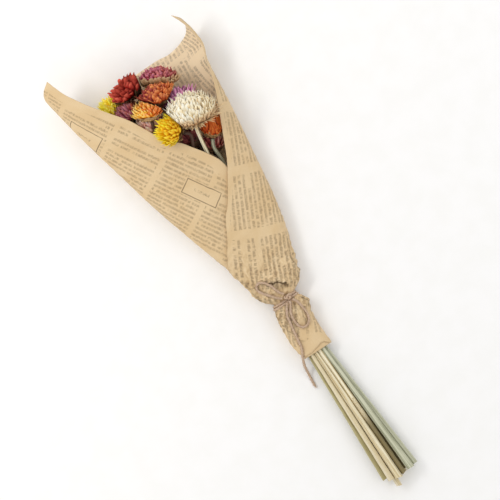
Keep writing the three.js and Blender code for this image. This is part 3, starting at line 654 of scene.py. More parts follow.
def relief(y, degrees):
    """How far the folds and crumples of the gathered paper stand out, alike in all layers."""
    folds = np.zeros(np.broadcast(y, degrees).shape)
    for angle, size, width, drift in FOLDS:
        away = np.abs((degrees - angle - drift * (y - NECK_Y) + 180) % 360 - 180)
        folds += size * np.exp(-away / width)
    crumple = np.zeros_like(folds)
    for count, rate, start in WAVES:
        wave = np.sin(count * np.radians(degrees) + rate * (y - NECK_Y) / 2 + start)
        crumple += 1 - np.abs(wave) * WAVE_FACTOR
    creases = sum(crease(y, degrees, *line) for line in CREASES)
    pinch = TIE_PINCH * np.exp(-((y - NECK_Y) / PINCH_LENGTH) ** 2)
    gathered = fold_height(y) * (folds - MEAN_FOLD) + crumple_height(y) * crumple / CRUMPLE_SCALE
    return gathered + creases - pinch


def twine_tie():
    """Turns of twine round the paper, and the knot on them."""
    tie = Mesh()
    share = np.linspace(0, 1, TIE_POINTS)
    degrees = TIE_START + 360 * TIE_TURNS * share
    y = TIE_START_Y + TIE_PITCH * TIE_TURNS * share
    rise = TWINE / 2 - TIE_SINK + (relief(y, degrees) + TIE_PINCH) * TIE_FOLLOW
    rope(tie, section_point(y, degrees, outer_inset(y, degrees % 360) - rise), hairs=5.0,
         hint=(0.0, 1.0, 0.0))
    angle = full_turn(KNOT_POINTS)
    # A trefoil knot, scaled to its size
    knot = joined(np.sin(angle) + 2 * np.sin(2 * angle), np.cos(angle) - 2 * np.cos(2 * angle),
                  -np.sin(3 * angle))
    knot *= (np.array(KNOT_SIZE) - KNOT_INSET) / np.abs(knot).max(0)
    knot += [*KNOT_AT, above_paper(*KNOT_AT, KNOT_SIZE[2] + KNOT_RISE)]
    rope(tie, knot, diameter=KNOT_TWINE, hairs=6.0)
    tie.build("jute_twine_tie", jute, "twine_tie", "jute_twine")


twine_tie()


def paper_rows():
    """Shares of the way from the hem to the rim, closer together near the tie."""
    share = np.linspace(0, 1, 2000)
    density = 1 + DENSER * np.exp(-((share - DENSE_AT) / DENSE_SPREAD) ** 2)
    total = np.concatenate([[0], np.cumsum((density[1:] + density[:-1]) / 2)])
    return np.interp(np.linspace(0, total[-1], SHEET_ROWS), total, share)


def on_sheet(y, turned):
    """Angle at y of a place so great a share of the turn from the left free edge to the right."""
    return between(left_flap_edge(y), right_flap_edge(y), turned)


def sheet_grid():
    """Y and angle of the sheet's points, with columns evenly spaced at each point's own height."""
    share = turned = np.linspace(0, 1, SHEET_COLUMNS)
    fine = np.linspace(0, 1, TABLE_STEPS)
    levels = np.linspace(skirt_hem(share).min(), rim(share).max(), TABLE_LEVELS)
    tables = []
    for level in levels:
        degrees = on_sheet(level, fine)
        run = length_along(section_point(np.full_like(fine, level), degrees, layer_inset(level, degrees)))
        tables.append(np.interp(share, run / run[-1], fine))
    rows = paper_rows()[:, None]
    y = between(skirt_hem(turned), rim(turned), rows)
    for _ in range(TABLE_READINGS):
        turned = joined(*(np.interp(at, levels, table) for at, table in zip(y.T, np.transpose(tables))))
        y = between(skirt_hem(turned), rim(turned), rows)
    return y, on_sheet(y, turned)


def under_twine(y, degrees, inset, lifted):
    """Keeps the lifted paper below the loops and the tail that lie on it."""
    points = section_point(y, degrees, inset)
    line = np.vstack(TWINE_LINES)
    reached = (y > line[:, 1].min() - TWINE_REACH) & (y < line[:, 1].max() + TWINE_REACH)
    near = reached & (points[..., 2] > UPPER_SIDE_Z)
    away = np.linalg.norm(points[near][:, None, :2] - line[None, :, :2], axis=2)
    room = line[:, 2] - TWINE / 2 - TWINE_ROOM - points[near][:, 2:]
    allowed = room + np.maximum(away - TWINE / 2, 0) * TWINE_SLOPE
    kept = lifted.copy()
    kept[near] = np.minimum(lifted[near], allowed.min(1))
    return kept


def flap_curl(y, share):
    """The free edges of the sheet lift a little off what they lie on."""
    return sum(high * np.exp(-aside * SHEET_WIDTH / near) * np.clip((y - start) / ease, 0, 1)
               for aside, (high, near, start, ease) in ((share, LEFT_CURL), (1 - share, RIGHT_CURL)))


def grid_place(value, levels):
    """Index of the evenly spaced level below a value, and the share of the way to the next one."""
    place = np.clip((value - levels[0]) / (levels[1] - levels[0]), 0, len(levels) - 1.001)
    return place.astype(int), place % 1


def flat_print(y, degrees, middle, slant):
    """Place across and along the printed rows, as if the cone were rolled out flat."""
    levels = np.linspace(y.min(), y.max(), PRINT_LEVELS)
    arcs = []
    for level in levels:
        run = length_along(section_point(np.full_like(PRINT_TURN, level), PRINT_TURN, 0.0))
        arcs.append(run - np.interp(middle, PRINT_TURN, run))
    arcs = np.array(arcs)
    (row, share), (column, part) = grid_place(y, levels), grid_place(degrees, PRINT_TURN)
    near, far = (between(arcs[k, column], arcs[k, column + 1], part) for k in (row, row + 1))
    radius = np.maximum(y, NECK_Y) - CONE_TIP_Y
    angle = between(near, far, share) / radius
    x, up = -radius * np.sin(angle), radius * np.cos(angle) + np.minimum(y - NECK_Y, 0)
    slant = np.radians(slant)
    place = joined(x * np.cos(slant) + up * np.sin(slant), up * np.cos(slant) - x * np.sin(slant))
    return place * UV_SCALE


def both_faces(values):
    """Surface coordinates of the outer face, given to the inner one too."""
    return np.tile(values.reshape(-1, 2), (2, 1))


def paper_piece(material):
    """The sheet as a thin closed body, rolled up, gathered and crumpled."""
    y, degrees = sheet_grid()
    share = np.broadcast_to(np.linspace(0, 1, SHEET_COLUMNS), y.shape)
    inset = layer_inset(y, degrees)
    lifted = under_twine(y, degrees, inset, relief(y, degrees) + flap_curl(y, share))
    faces = []
    for depth in (0.0, SHEET_THICKNESS):
        points = section_point(y, degrees, inset + depth - lifted)
        points[..., 2] = np.maximum(points[..., 2], depth)
        faces.append(points)
    steps = np.linalg.norm(np.diff(faces[0], axis=0), axis=2)
    along = np.cumsum(np.vstack([np.zeros(SHEET_COLUMNS), steps]), axis=0)
    uv = [joined(share * SHEET_WIDTH + shift, along) * UV_SCALE for shift in (0, BACK_FACE_SHIFT)]
    sheet = Mesh()
    sheet.add(faces, blade_faces(SHEET_ROWS, SHEET_COLUMNS)[:, ::-1], uv,
              both_faces(flat_print(y, degrees, *LEFT_PRINT)))
    piece = sheet.build("kraft_paper_wrap", material, "paper_wrap", "kraft_paper",
                        crease=both_faces(nearest_crease(y, degrees)),
                        flap=both_faces(flat_print(y, degrees, *RIGHT_PRINT)))


# The sheet carries the left flap's print up to here across it, and the right flap's beyond,
# and the same on its inner face
PRINT_CHANGE = 96.0
INNER_PRINT_CHANGE = 150.0
# Distance of the rows, length of the columns, their shift and half the gap between them
PRINTS = ((3.65, 41.0, 14.0, 2.0), (3.65, 47.5, 22.5, 3.6))
INK_STRENGTH = 0.38
LARGE_INK_STRENGTH = 0.42
# Painted light: how much the inner face is lightened against the shade inside the cone
INNER_PAINTED_LIGHT = 0.6
# Two thin printed frames: middle across and along the rows, and half sizes
INK_FRAMES = [(91.0, 154.5, 6.2, 14.0), (88.0, 250.0, 8.0, 13.0)]
# How fast words, strokes and tall letters follow one another along a row
WORD_RATE, STROKE_RATE, TALL_RATE = 0.42, 1.3, 0.9
SHORT_ROWS, BLANK_ROWS = 0.14, 0.03


def print_rows(s, across, along, pitch, column_pitch, shift, gap):
    """Rows of letter-like marks in columns, with gaps between words, none of it legible."""
    column_run = (along + shift) / column_pitch
    column = s.math("FLOOR", column_run)
    in_column = s.math("FRACT", column_run) * column_pitch
    row_run = (across + column * 1.37) / pitch
    row, in_row = s.math("FLOOR", row_run), s.math("FRACT", row_run)
    # Odd factors, so that no two rows share their noise
    key = row * 7.31 + column * 3.17
    words = s.ramp(s.streaks((along * WORD_RATE, key), 0.0), 0.3, 0.37)
    letters = s.ramp(s.streaks((along * STROKE_RATE, key, in_row * 1.8), 1.5), 0.36, 0.56, 0.25, 1.0)
    tall = s.ramp(s.streaks((along * TALL_RATE, key, 4.0), 0.0), 0.52, 0.6)
    below_top = s.ramp(in_row - (tall * 0.14 + 0.68), -0.06, 0.06, 1.0, 0.0)
    chance, cut, blank = (s.value("ShaderNodeTexWhiteNoise", {"Vector": s.vector(row, column, draw)})
                          for draw in (1.0, 2.0, 3.0))
    short = (chance < SHORT_ROWS) * (in_column > cut * column_pitch)
    end = column_pitch - gap
    inside = s.ramp(in_column, gap - 0.2, gap + 0.2) * s.ramp(in_column, end - 0.2, end + 0.2, 1.0, 0.0)
    kept = inside * (1.0 - s.math("MAXIMUM", short, blank < BLANK_ROWS))
    return words * letters * (s.ramp(in_row, 0.1, 0.24) * below_top * kept)


def print_frames(s, ink, across, along):
    """The ink cleared for the thin frames, and the frames with blurred strokes in them."""
    strokes = s.ramp(s.streaks((along * 0.9, across * 0.5), 1.0), 0.45, 0.6, 0.0, 0.6)
    frames = []
    for middle_across, middle_along, half_across, half_along in INK_FRAMES:
        off_across = s.math("ABSOLUTE", across - middle_across)
        off_along = s.math("ABSOLUTE", along - middle_along)
        out = s.math("MAXIMUM", off_across - half_across, off_along - half_along)
        ink = ink * s.ramp(out, 0.8, 1.6)
        rule = s.ramp(s.math("ABSOLUTE", out), 0.2, 0.42, 1.0, 0.0)
        mark = (off_across < 1.1) * (off_along < 0.45 * half_along) * strokes
        frames.append(s.math("MAXIMUM", rule, mark))
    return ink, s.math("MAXIMUM", *frames)


def paper_material():
    s = Shader("kraft_paper", 0.78)
    (across, along), (row_at, run_at), (flap_row, flap_run) = (
        [value * (1 / UV_SCALE) for value in s.uv(layer)] for layer in ("sheet", "tone", "flap"))
    inner = across > BACK_FACE_SHIFT
    across_face = s.math("MODULO", across, BACK_FACE_SHIFT)
    is_large = across_face > inner * (INNER_PRINT_CHANGE - PRINT_CHANGE) + PRINT_CHANGE
    is_small = 1.0 - is_large
    ink = (print_rows(s, row_at, run_at, *PRINTS[0]) * (is_small * INK_STRENGTH)
           + print_rows(s, flap_row, flap_run, *PRINTS[1]) * (is_large * LARGE_INK_STRENGTH))
    # Plain strips along the sheet's own edges
    margin = (s.ramp(across_face, 7.5, 8.0) * s.ramp(along, 8.5, 9.5)
              * s.ramp(across_face, SHEET_WIDTH - 4, SHEET_WIDTH - 3.5, 1.0, 0.0))
    ink, frames = print_frames(s, ink, row_at, run_at)
    ink = s.math("MAXIMUM", ink * margin, frames * (is_small * 0.8))
    ink = ink * s.ramp(s.speckle(160.0, 3.0), 0.3, 0.5, 0.6, 1.0)
    # Kraft stock: fine fibres and soft blotches, and near the tie painted shade and painted highlights for
    # the facets of the crumpled paper
    sheet_place = s.vector(across, along)
    fibres = s.noise(sheet_place, 2.2, 4.0, 0.7)
    blotches = s.noise(sheet_place, 0.05, 2.0)
    near_tie = s.ramp(along, 12.0, 34.0) * s.ramp(along, 112.0, 60.0)
    painted_facet_light = s.streaks((flap_row * 0.42, flap_run * 0.2), 3.0, 0.65, 0.8)
    # Painted shadow: a thin jagged dark line at the foot of each crease, with a soft painted shade on one
    # side
    foot, crease_shadow = s.uv("crease")
    from_foot = foot + (s.speckle(420.0) - 0.5) * 2.4
    foot_shadow = s.math("MAXIMUM", s.ramp(s.math("ABSOLUTE", from_foot), 0.1, 0.75, 0.95, 0.0),
                       s.ramp(from_foot, 3.4, 0.0, 0.0, 0.35) * s.ramp(from_foot, -0.6, 0.0))
    colour = s.layered(
        s.colours(fibres, (0.25, "cdae80"), (0.5, "dcc197"), (0.78, "e8d2ac")),
        (s.ramp(blotches, 0.35, 0.7, 0.0, 0.45), "cfae7c"),
        # Painted light: the inner face is lightened against the shade inside the cone
        (inner * INNER_PAINTED_LIGHT, "ffeccc"),
        # Painted shade and painted highlights of the crumpled facets near the tie
        (near_tie * s.ramp(painted_facet_light, 0.5, 0.36, 0.0, 0.42), "8a6438"),
        (near_tie * s.ramp(painted_facet_light, 0.52, 0.68, 0.0, 0.38), "fbe8c4"),
        (ink * s.ramp(near_tie, 0.0, 1.0, 1.0, 1.25), "4a3320"),
        (s.math("MULTIPLY", crease_shadow, foot_shadow, clamp=True), "4e3a20"))
    crinkles = s.bump(s.speckle(90.0, 3.0, 0.6), s.ramp(near_tie, 0.0, 1.0, 0.12, 0.7), 0.0014)
    crinkles = s.bump(s.speckle(380.0, 2.0, 0.5, 0.6), s.ramp(near_tie, 0.0, 1.0, 0.05, 0.55), 0.0008,
                      crinkles)
    return s.finish(colour, s.bump(fibres, 0.18, 0.0003, crinkles))


paper_piece(paper_material())


# Stems

NECK_HALF_LENGTH = 12
NECK_CENTRE = (0.35, 8.7)
NECK_PITCH = 3.32
NECK_ROW_RISE = 2.9
NECK_RADIUS = 1.55
SKIRT_Y = 114
SKIRT_SHIFT = (-1.3, -2.05)
STEM_TOP_RADIUS = 1.35
STEM_LEAD = 6
CLEARANCE = 0.3
CALYX_DEPTH = 4.2
# How much larger the heads are than in the CAD, where their forms are plain
SWELL = {"03_crimson": 1.05, "05_peach": 1.6, "08_magenta": 1.2, "10_amber": 1.0, "12_white": 1.0}
OTHER_SWELL = 1.1
# How much higher a head's foot is than in the CAD, in mm, so that the head below it shows
RAISED = {"10_amber": 5.0}

# Row and place at the tie, cut end, radius there, colour
STEMS = [
    (0, -1.5, (-9.4, 3.2, 2.3), 2.3, "olive"), (0, -0.5, (-3.4, 1, 2.5), 2.5, "cream"),
    (0, 0.5, (2.6, 0.6, 2.4), 2.3, "cream"), (0, 1.44, (8.8, 1.6, 2.6), 2.6, "green"),
    (1, -2, (-12.8, 3.6, 7.1), 2.2, "olive"), (1, -1, (-6.4, -6.5, 7.1), 2.2, "cream"),
    (1, 0, (-0.6, 0, 7.1), 2, "olive"), (1, 1, (5, 2.4, 7.1), 2, "olive"),
    (1, 2, (12.5, 1.2, 7.2), 3, "green"), (2, -1.5, (-9, 0.6, 12), 2.4, "cream"),
    (2, -0.5, (-3.1, -1, 12.1), 3, "cream"), (2, 0.5, (2.1, -0.2, 11.7), 1.8, "cream"),
    (2, 1.45, (8.5, 0.2, 12.2), 3, "green")]

# Name, middle, axis, size across, through and along the axis, point its stem passes, form
HEADS = [
    ("01_yellow", (-27.2, 356.3, 15.5), (-0.1, 0.98, 0.1), (19, 16, 14), (-19, 322, 10), "dome"),
    ("02_maroon", (-17, 347, 24), (-0.1, 0.98, 0.15), (21.5, 17, 14), (-11, 312, 8.5), "bowl"),
    ("03_crimson", (-10.8, 361, 27), (-0.21, 0.97, 0.1), (27, 22, 16), (-2, 318, 10), "broad"),
    ("04_purple", (14.8, 355.4, 25), (0.42, 0.9, 0.1), (30, 21, 12.5), (11, 316, 11), "arch"),
    ("05_peach", (-9.5, 328, 23.5), (-0.1, 0.95, 0.2), (16, 14, 12), (-8, 295, 18), "dome"),
    ("06_rust", (6, 345, 36), (0.12, 0.97, 0.2), (31, 19, 13), (1.2, 302, 15), "arch"),
    ("07_plum", (9.8, 302.7, 28), (0.15, 0.95, 0.2), (18, 15, 12), (7, 260, 17), "bowl"),
    ("08_magenta", (16.8, 333, 27), (0.38, 0.92, 0.15), (27, 18, 14), (12.4, 296, 15), "bowl"),
    ("09_wine", (22.5, 291, 16), (0.4, 0.9, 0.15), (17, 13, 11), (15.5, 256, 12.5), "bowl"),
    ("10_amber", (-5.8, 337, 38), (0.25, 0.92, 0.3), (27, 19, 18), (-7, 290, 24), "dome"),
    ("11_lemon", (-0.4, 316.5, 43.5), (-0.62, 0.6, 0.5), (22, 17, 16), (0.6, 280, 24), "dome"),
    ("12_white", (21.8, 322.8, 46), (0.22, 0.85, 0.48), (41, 29, 23), (13.2, 280, 25), "white"),
    ("13_orange", (28.6, 303, 26.4), (0.45, 0.85, 0.2), (21, 15, 14), (20.5, 274, 19.5), "bowl")]


class Head:
    """A flower head's place, size, axes and stem; only SWELL and RAISED part it from the CAD's."""

    def __init__(self, index, name, at, axis, size, via, form):
        self.name, self.form = name, form
        self.at, self.size = np.array(at, float), np.array(size, float)
        self.along = unit(np.array(axis))
        across = unit(-np.cross([0, 0, 1], self.along))
        self.axes = np.stack([across, np.cross(self.along, across), self.along])
        raised = RAISED.get(name, 0.0)
        self.foot = self.at - self.along * (self.size[2] / 2 - raised)
        self.stem_line(via, *STEMS[index])
        self.size[2] -= raised
        self.size *= SWELL.get(name, OTHER_SWELL)
        self.radius, self.depth = self.size[0] / 2, self.size[2]

    def reach(self, direction):
        """Half of the head's size in a direction."""
        return np.linalg.norm(self.axes @ direction * self.size) / 2

    def stem_line(self, via, row, place, end, radius, colour):
        neck = np.array([NECK_CENTRE[0] + place * NECK_PITCH, NECK_Y,
                         NECK_CENTRE[1] + (row - 1) * NECK_ROW_RISE])
        top = self.foot - self.along * (CALYX_DEPTH + CLEARANCE)
        skirt = [neck[0] + SKIRT_SHIFT[0], SKIRT_Y, neck[2] + SKIRT_SHIFT[1]]
        low, high = neck - [0, NECK_HALF_LENGTH, 0], neck + [0, NECK_HALF_LENGTH, 0]
        curve = smooth_line([low, high, via, top - self.along * STEM_LEAD, top], 12)
        self.line = np.vstack([[end, skirt], curve])
        thin = np.linspace(NECK_RADIUS, STEM_TOP_RADIUS, len(curve))
        self.radii = np.concatenate([[radius, NECK_RADIUS + 0.1], thin])
        self.stem_colour = colour


heads = [Head(index, *row) for index, row in enumerate(HEADS)]

# How strongly each stem is darkened by painted shade between the heads; the others are fully darkened there
STEM_PAINTED_SHADE = {"12_white": 0.0, "13_orange": 0.2, "07_plum": 0.3}
# How far up from the cut end some stems are darkened with painted shade, in mm
PAINTED_SHADE_UP_TO = {"07_plum": 130.0, "08_magenta": 130.0, "12_white": 70.0}
PAINTED_SHADE_FADE = 32.0
stem_materials = {
    "cream": stem_material("stem_cream", "9c7e48", "ecdcae", "fcf4d8"),
    "green": stem_material("stem_green", "70755a", "b8b898", "d9d8be"),
    "olive": stem_material("stem_olive", "776a3a", "b4a872", "d2c89a")}
STEM_SIDES = 22
STEM_STEP = 2.2
# The cut end: shares of its radius, and depths, of the rim, of the pith's edge and of the pith,
# and their places along the grain of the stem's material
CUT_END = ((1, 0), (0.72, 0.12), (0.5, 0.5))
CUT_END_GRAIN = [[0], [400], [800]]
random_stem = np.random.default_rng(23)


def stem_piece(head):
    """A dry ridged stem with a cut end."""
    line = even_line(head.line, STEM_STEP)
    along = length_along(line)[:, None]
    turn = full_turn(STEM_SIDES)
    ribs = random_stem.integers(5, 8)
    phase = random_stem.uniform(0, 6.28)
    twist = random_stem.uniform(-0.004, 0.004)
    ridge = np.abs(np.sin(ribs / 2 * (turn + phase + twist * along)))
    wobble = 0.03 * np.sin(along * 0.11 + phase) + 0.02 * np.sin(along * 0.37)
    radius = np.interp(along, length_along(head.line), head.radii) * (0.9 + 0.1 * ridge + wobble)
    points = tube(line, *line_frames(line), radius)
    points[0, :, 1] += random_stem.uniform(-0.35, 0.35) * (points[0, :, 0] - line[0, 0])
    points[..., 2] = np.maximum(points[..., 2], FLOOR_ROOM)
    chance = random_stem.uniform()
    # The tone of the stretch darkened with painted shade lies above one
    painted_shade_stretch = 2.0 * np.clip((PAINTED_SHADE_UP_TO.get(head.name, -1) - along) / PAINTED_SHADE_FADE, 0, 1)
    shaded = np.full(STEM_SIDES, STEM_PAINTED_SHADE.get(head.name, 1.0))
    stem = Mesh()
    stem.add(points, tube_faces(len(line), STEM_SIDES, open_start=True), joined(turn, along),
             joined(chance + painted_shade_stretch, shaded))
    middle = points[0].mean(0)
    pith = [middle + (points[0] - middle) * share + [0, depth, 0] for share, depth in CUT_END]
    faces = [face[::-1] for face in tube_faces(len(CUT_END), STEM_SIDES, open_start=True)]
    stem.add(pith, faces, joined(turn * 2, CUT_END_GRAIN), (chance, 0))
    stem.build("stalk_" + head.name, stem_materials[head.stem_colour], "stem_" + head.name,
               "stem_" + head.stem_colour)


for head in heads:
    stem_piece(head)


# Flower heads

# Over what depth petals are pressed back, and the gap to what presses them: a little overlap
PRESS_DEPTH = 3.0
PRESS_GAP = -1.2
PRESS_PASSES = 3
# Petals keep inside the paper from this share of its radius on, and with so much room to it
WALL_START = 0.86
PAPER_ROOM = 0.6
# Degrees inside the cone's opening over which the wall stops counting
OPENING_EASE = (3, 22)
# Heads above the paper, and the top of the flap that one of them lies on
ABOVE_PAPER = ("11_lemon", "12_white")
FLAP_TOP = 38.2


def pressing_planes(head):
    """Flat faces that press a head back: its neighbours, and stems passing close by."""
    planes = []
    for other in heads:
        if other is head:
            continue
        away = other.at - head.at
        distance = np.linalg.norm(away)
        away = away / distance
        mine, theirs = head.reach(away), other.reach(away)
        if mine + theirs > distance - PRESS_GAP:
            planes.append((away, distance * mine / (mine + theirs) - PRESS_GAP))
        line = even_line(other.line, 2.0) - head.at
        gaps = np.linalg.norm(line, axis=1)
        nearest = np.argmin(gaps)
        towards = line[nearest] / gaps[nearest]
        room = gaps[nearest] - NECK_RADIUS - PRESS_GAP
        if room < head.reach(towards):
            planes.append((towards, room - CLEARANCE))
    return planes


def eased(value, start, room):
    """Softly bounded value: as it is up to the start, and never more than the room above it."""
    over = np.maximum(value - start, 0)
    return np.where(value <= start, value, start + room * (1 - np.exp(-over / room)))


def pressed(value, limit):
    """Softly bounded value: grows as before up to PRESS_DEPTH short of the limit."""
    return eased(value, limit - PRESS_DEPTH, PRESS_DEPTH)


def inside_wall(points):
    """Moves points inside the paper wall, where the wall stands round them."""
    x, y, z = points.T
    middle, power = section_middle(y), roundness(y)
    wall = layer_inset(y, left_flap_edge(y)) + PAPER_ROOM + 2 * CLEARANCE
    reach, half = half_width(x, y) - wall, height(y) / 2 - wall
    across, up = (x - SPINE_X) / reach, (z - middle) / half
    radius = (np.abs(across) ** power + np.abs(up) ** power) ** (1 / power)
    bounded = eased(radius, WALL_START, 1 - WALL_START)
    degrees = np.degrees(np.arctan2(np.sign(up) * np.abs(up) ** (power / 2),
                                    np.sign(across) * np.abs(across) ** (power / 2)))
    into = np.minimum(degrees - (right_flap_edge(y) - 360), left_flap_edge(y) - degrees)
    free = np.clip((into - OPENING_EASE[0]) / (OPENING_EASE[1] - OPENING_EASE[0]), 0, 1)
    kept = between(bounded, radius, free * free * (3 - 2 * free))
    scale = np.where(radius > 1e-6, kept / np.maximum(radius, 1e-6), 1)
    return np.stack([SPINE_X + across * reach * scale, y, middle + up * half * scale], -1)


def place_on_head(head, points, lowest=None):
    """Head-space points (mm, +Z along the axis from the foot) in their place."""
    flat = np.reshape(points, (-1, 3)) * [1, head.size[1] / head.size[0], 1]
    placed = head.foot + flat @ head.axes
    planes = pressing_planes(head)
    for _ in range(PRESS_PASSES):
        for away, limit in planes:
            reach = (placed - head.at) @ away
            placed = placed + (pressed(reach, limit) - reach)[:, None] * away
        if head.name not in ABOVE_PAPER:
            placed = inside_wall(placed)
    if lowest is not None:
        placed[:, 2] = -pressed(-placed[:, 2], -lowest)
    return placed.reshape(np.shape(points))


# One ring of petals: its count, root, middle and tip as [radius, height], width and cup
Ring = namedtuple("Ring", "count root middle tip width cup", defaults=[0.25])


def blended_rings(count, *listed):
    """So many rings between listed ones."""
    rings = []
    for share in np.linspace(0, len(listed) - 1, count):
        low = min(int(share), len(listed) - 2)
        t = share - low
        row = (1 - t) * np.hstack(listed[low]) + t * np.hstack(listed[low + 1])
        rings.append(Ring(int(round(row[0])), row[1:3], row[3:5], row[5:7], row[7], row[8]))
    return rings


def dome_point(angle, out, rise):
    """A point over a dome as [radius, height], never below its foot."""
    return [out * math.cos(angle), max(0.1 + rise * out * math.sin(angle), 0.02)]


def scaled_rings(count, petals, width, rise):
    """Rings of short petals that overlap like scales over a dome."""
    return [Ring(int(petals * math.cos(angle)) + 6, dome_point(angle - 0.3, 0.74, rise),
                 dome_point(angle, 0.92, rise), dome_point(angle + 0.2, 1.03, rise), width, 0.4)
            for angle in np.linspace(0.02, 1.42, count)]


FORMS = {
    "dome": blended_rings(
        9,
        [20, [0.4, 0.06], [0.82, 0.12], [1.02, 0.3], 0.25, 0.3],
        [22, [0.44, 0.22], [0.84, 0.38], [0.98, 0.64], 0.23, 0.35],
        [17, [0.32, 0.4], [0.62, 0.64], [0.7, 0.92], 0.21, 0.4],
        [6, [0.1, 0.5], [0.2, 0.8], [0.17, 1.0], 0.18, 0.5]),
    "white": scaled_rings(16, 54, 0.12, 0.8),
    "arch": scaled_rings(12, 42, 0.15, 0.85),
    "bowl": blended_rings(
        10,
        [28, [0.38, 0.0], [0.74, 0.06], [0.92, 0.26], 0.21, 0.35],
        [32, [0.42, 0.08], [0.82, 0.24], [1.0, 0.56], 0.2, 0.35],
        [32, [0.44, 0.16], [0.8, 0.44], [0.96, 0.82], 0.19, 0.4],
        [28, [0.36, 0.24], [0.66, 0.58], [0.78, 0.96], 0.18, 0.45],
        [18, [0.22, 0.3], [0.42, 0.62], [0.5, 0.92], 0.18, 0.45],
        [8, [0.08, 0.3], [0.16, 0.6], [0.2, 0.84], 0.18, 0.5]),
    "broad": blended_rings(
        7,
        [18, [0.36, 0.0], [0.78, 0.1], [0.98, 0.3], 0.3, 0.9],
        [20, [0.4, 0.1], [0.84, 0.3], [1.0, 0.6], 0.29, 0.9],
        [18, [0.34, 0.2], [0.66, 0.5], [0.82, 0.86], 0.27, 0.9],
        [10, [0.2, 0.26], [0.38, 0.6], [0.48, 0.92], 0.25, 0.8])}
# A small head has every second ring, and its last one
SMALL_RADIUS = 10
# Each form's core under the petals, as [radius, height] shares of the head
FLAT_CORE = [[0, 0], [0.45, 0], [0.74, 0.06], [0.8, 0.26], [0.7, 0.44], [0.5, 0.58], [0.2, 0.7], [0, 0.72]]
OPEN_CORE = [[0, 0], [0.4, 0], [0.64, 0.1], [0.7, 0.28], [0.54, 0.42], [0.2, 0.47], [0, 0.46]]
CORES = {
    "dome": [[0, 0], [0.4, 0], [0.6, 0.12], [0.64, 0.34], [0.5, 0.56], [0.2, 0.72], [0, 0.75]],
    "white": FLAT_CORE, "arch": FLAT_CORE, "bowl": OPEN_CORE, "broad": OPEN_CORE}
CORE_SIDES = 16
# How far up petals keep their width, and how sharp their tips are
TIP_SHAPES = {"broad": (6.0, 0.42), "white": (3.0, 0.85), "bowl": (4.0, 0.65), "arch": (5.0, 0.5)}
OTHER_TIPS = (3.2, 0.8)
PETAL_ACROSS = 5
# Places along a petal, closer together at its tip
PETAL_STEPS = np.array([0.0, 0.25, 0.5, 0.72, 0.88, 0.96, 1.0])[:, None]
PETAL_FACES = blade_faces(len(PETAL_STEPS), PETAL_ACROSS)
PETAL_UV = np.stack([joined(np.linspace(0, 1, PETAL_ACROSS), PETAL_STEPS)] * 2)
PETAL_THICKNESS, BRACT_THICKNESS = 0.22, 0.2
# How much a petal strays by chance: its middle and its tip as [radius, height], its width, its lean
STRAY_POINTS = [[0.05, 0.04], [0.08, 0.07]]
STRAY_WIDTH, STRAY_LEAN = 0.15, 0.1
LEAST_WIDTH = 0.03
WAVE_HEIGHT = 0.05
CURL_FROM, CURL_HEIGHT = 0.7, 3.6
# How far petals and bracts stray from their even places, and how far each ring of petals is turned
PETAL_SPREAD, BRACT_SPREAD = 0.18, 0.2
RING_TURN = 0.37
random_petal = np.random.default_rng(31)


def petal_grid(ring, angle, head, jitter):
    """Points of one petal in head space: narrow at the root, cupped, with a pointed tip."""
    up, across = PETAL_STEPS, np.linspace(-1, 1, PETAL_ACROSS)
    # Root, middle and tip as [radius, height], and the quadratic curve through them
    knots = np.array([ring.root, ring.middle, ring.tip], float)
    knots[1:] += jitter[:2, None] * STRAY_POINTS
    weights = np.hstack([(2 * up - 1) * (up - 1), 4 * up * (1 - up), up * (2 * up - 1)])
    curve = weights @ knots * [head.radius, head.depth]
    half = ring.width * head.radius / 2 * (1 + STRAY_WIDTH * jitter[2])
    fullness, sharpness = TIP_SHAPES.get(head.form, OTHER_TIPS)
    outline = 0.5 + 0.7 * np.sin(np.pi * np.minimum(up * 1.05, 1) * 0.62)
    outline = np.maximum(outline * (1 - up ** fullness) ** sharpness, LEAST_WIDTH)
    slide = across * half * outline + jitter[3] * STRAY_LEAN * head.radius * up
    # Out along the petal's normal in the radial plane: its cup, its wave and its curled tip
    slope = unit(np.gradient(curve, axis=0))
    wave = WAVE_HEIGHT * np.sin(6 * up + jitter[4] * 3) * across
    curl = CURL_HEIGHT * jitter[5] * np.maximum(up - CURL_FROM, 0) ** 2
    lift = half * (ring.cup * across ** 2 * outline + wave + curl)
    radial = curve[:, :1] - lift * slope[:, 1:]
    rise = curve[:, 1:] + lift * slope[:, :1]
    return joined(radial * np.cos(angle) - slide * np.sin(angle),
                  radial * np.sin(angle) + slide * np.cos(angle), rise)


def ring_of_petals(head, ring, level, spread, turned=0.0, roughness=1.0):
    """The angle and the points of each petal of a ring, in head space."""
    for k in range(ring.count):
        place = k + 0.5 * (level % 2) + random_petal.uniform(-spread, spread)
        angle = 2 * np.pi * place / ring.count + turned
        jitter = random_petal.normal(0, 1, 6).clip(-2, 2) * roughness
        yield angle, petal_grid(ring, angle, head, jitter)


def add_petals(mesh, head, grids, tones, thickness, lowest=None):
    """Petals as thin closed blades, pressed back with their head."""
    edge = np.linspace(-1, 1, PETAL_ACROSS)[:, None] ** 2
    for grid, tone in zip(place_on_head(head, np.array(grids), lowest), tones):
        normal = np.cross(np.gradient(grid, axis=1), np.gradient(grid, axis=0))
        normal = normal / np.maximum(np.linalg.norm(normal, axis=2, keepdims=True), 1e-9)
        mesh.add([grid, grid - normal * thickness * (1 - 0.8 * edge)], PETAL_FACES, PETAL_UV, tone)


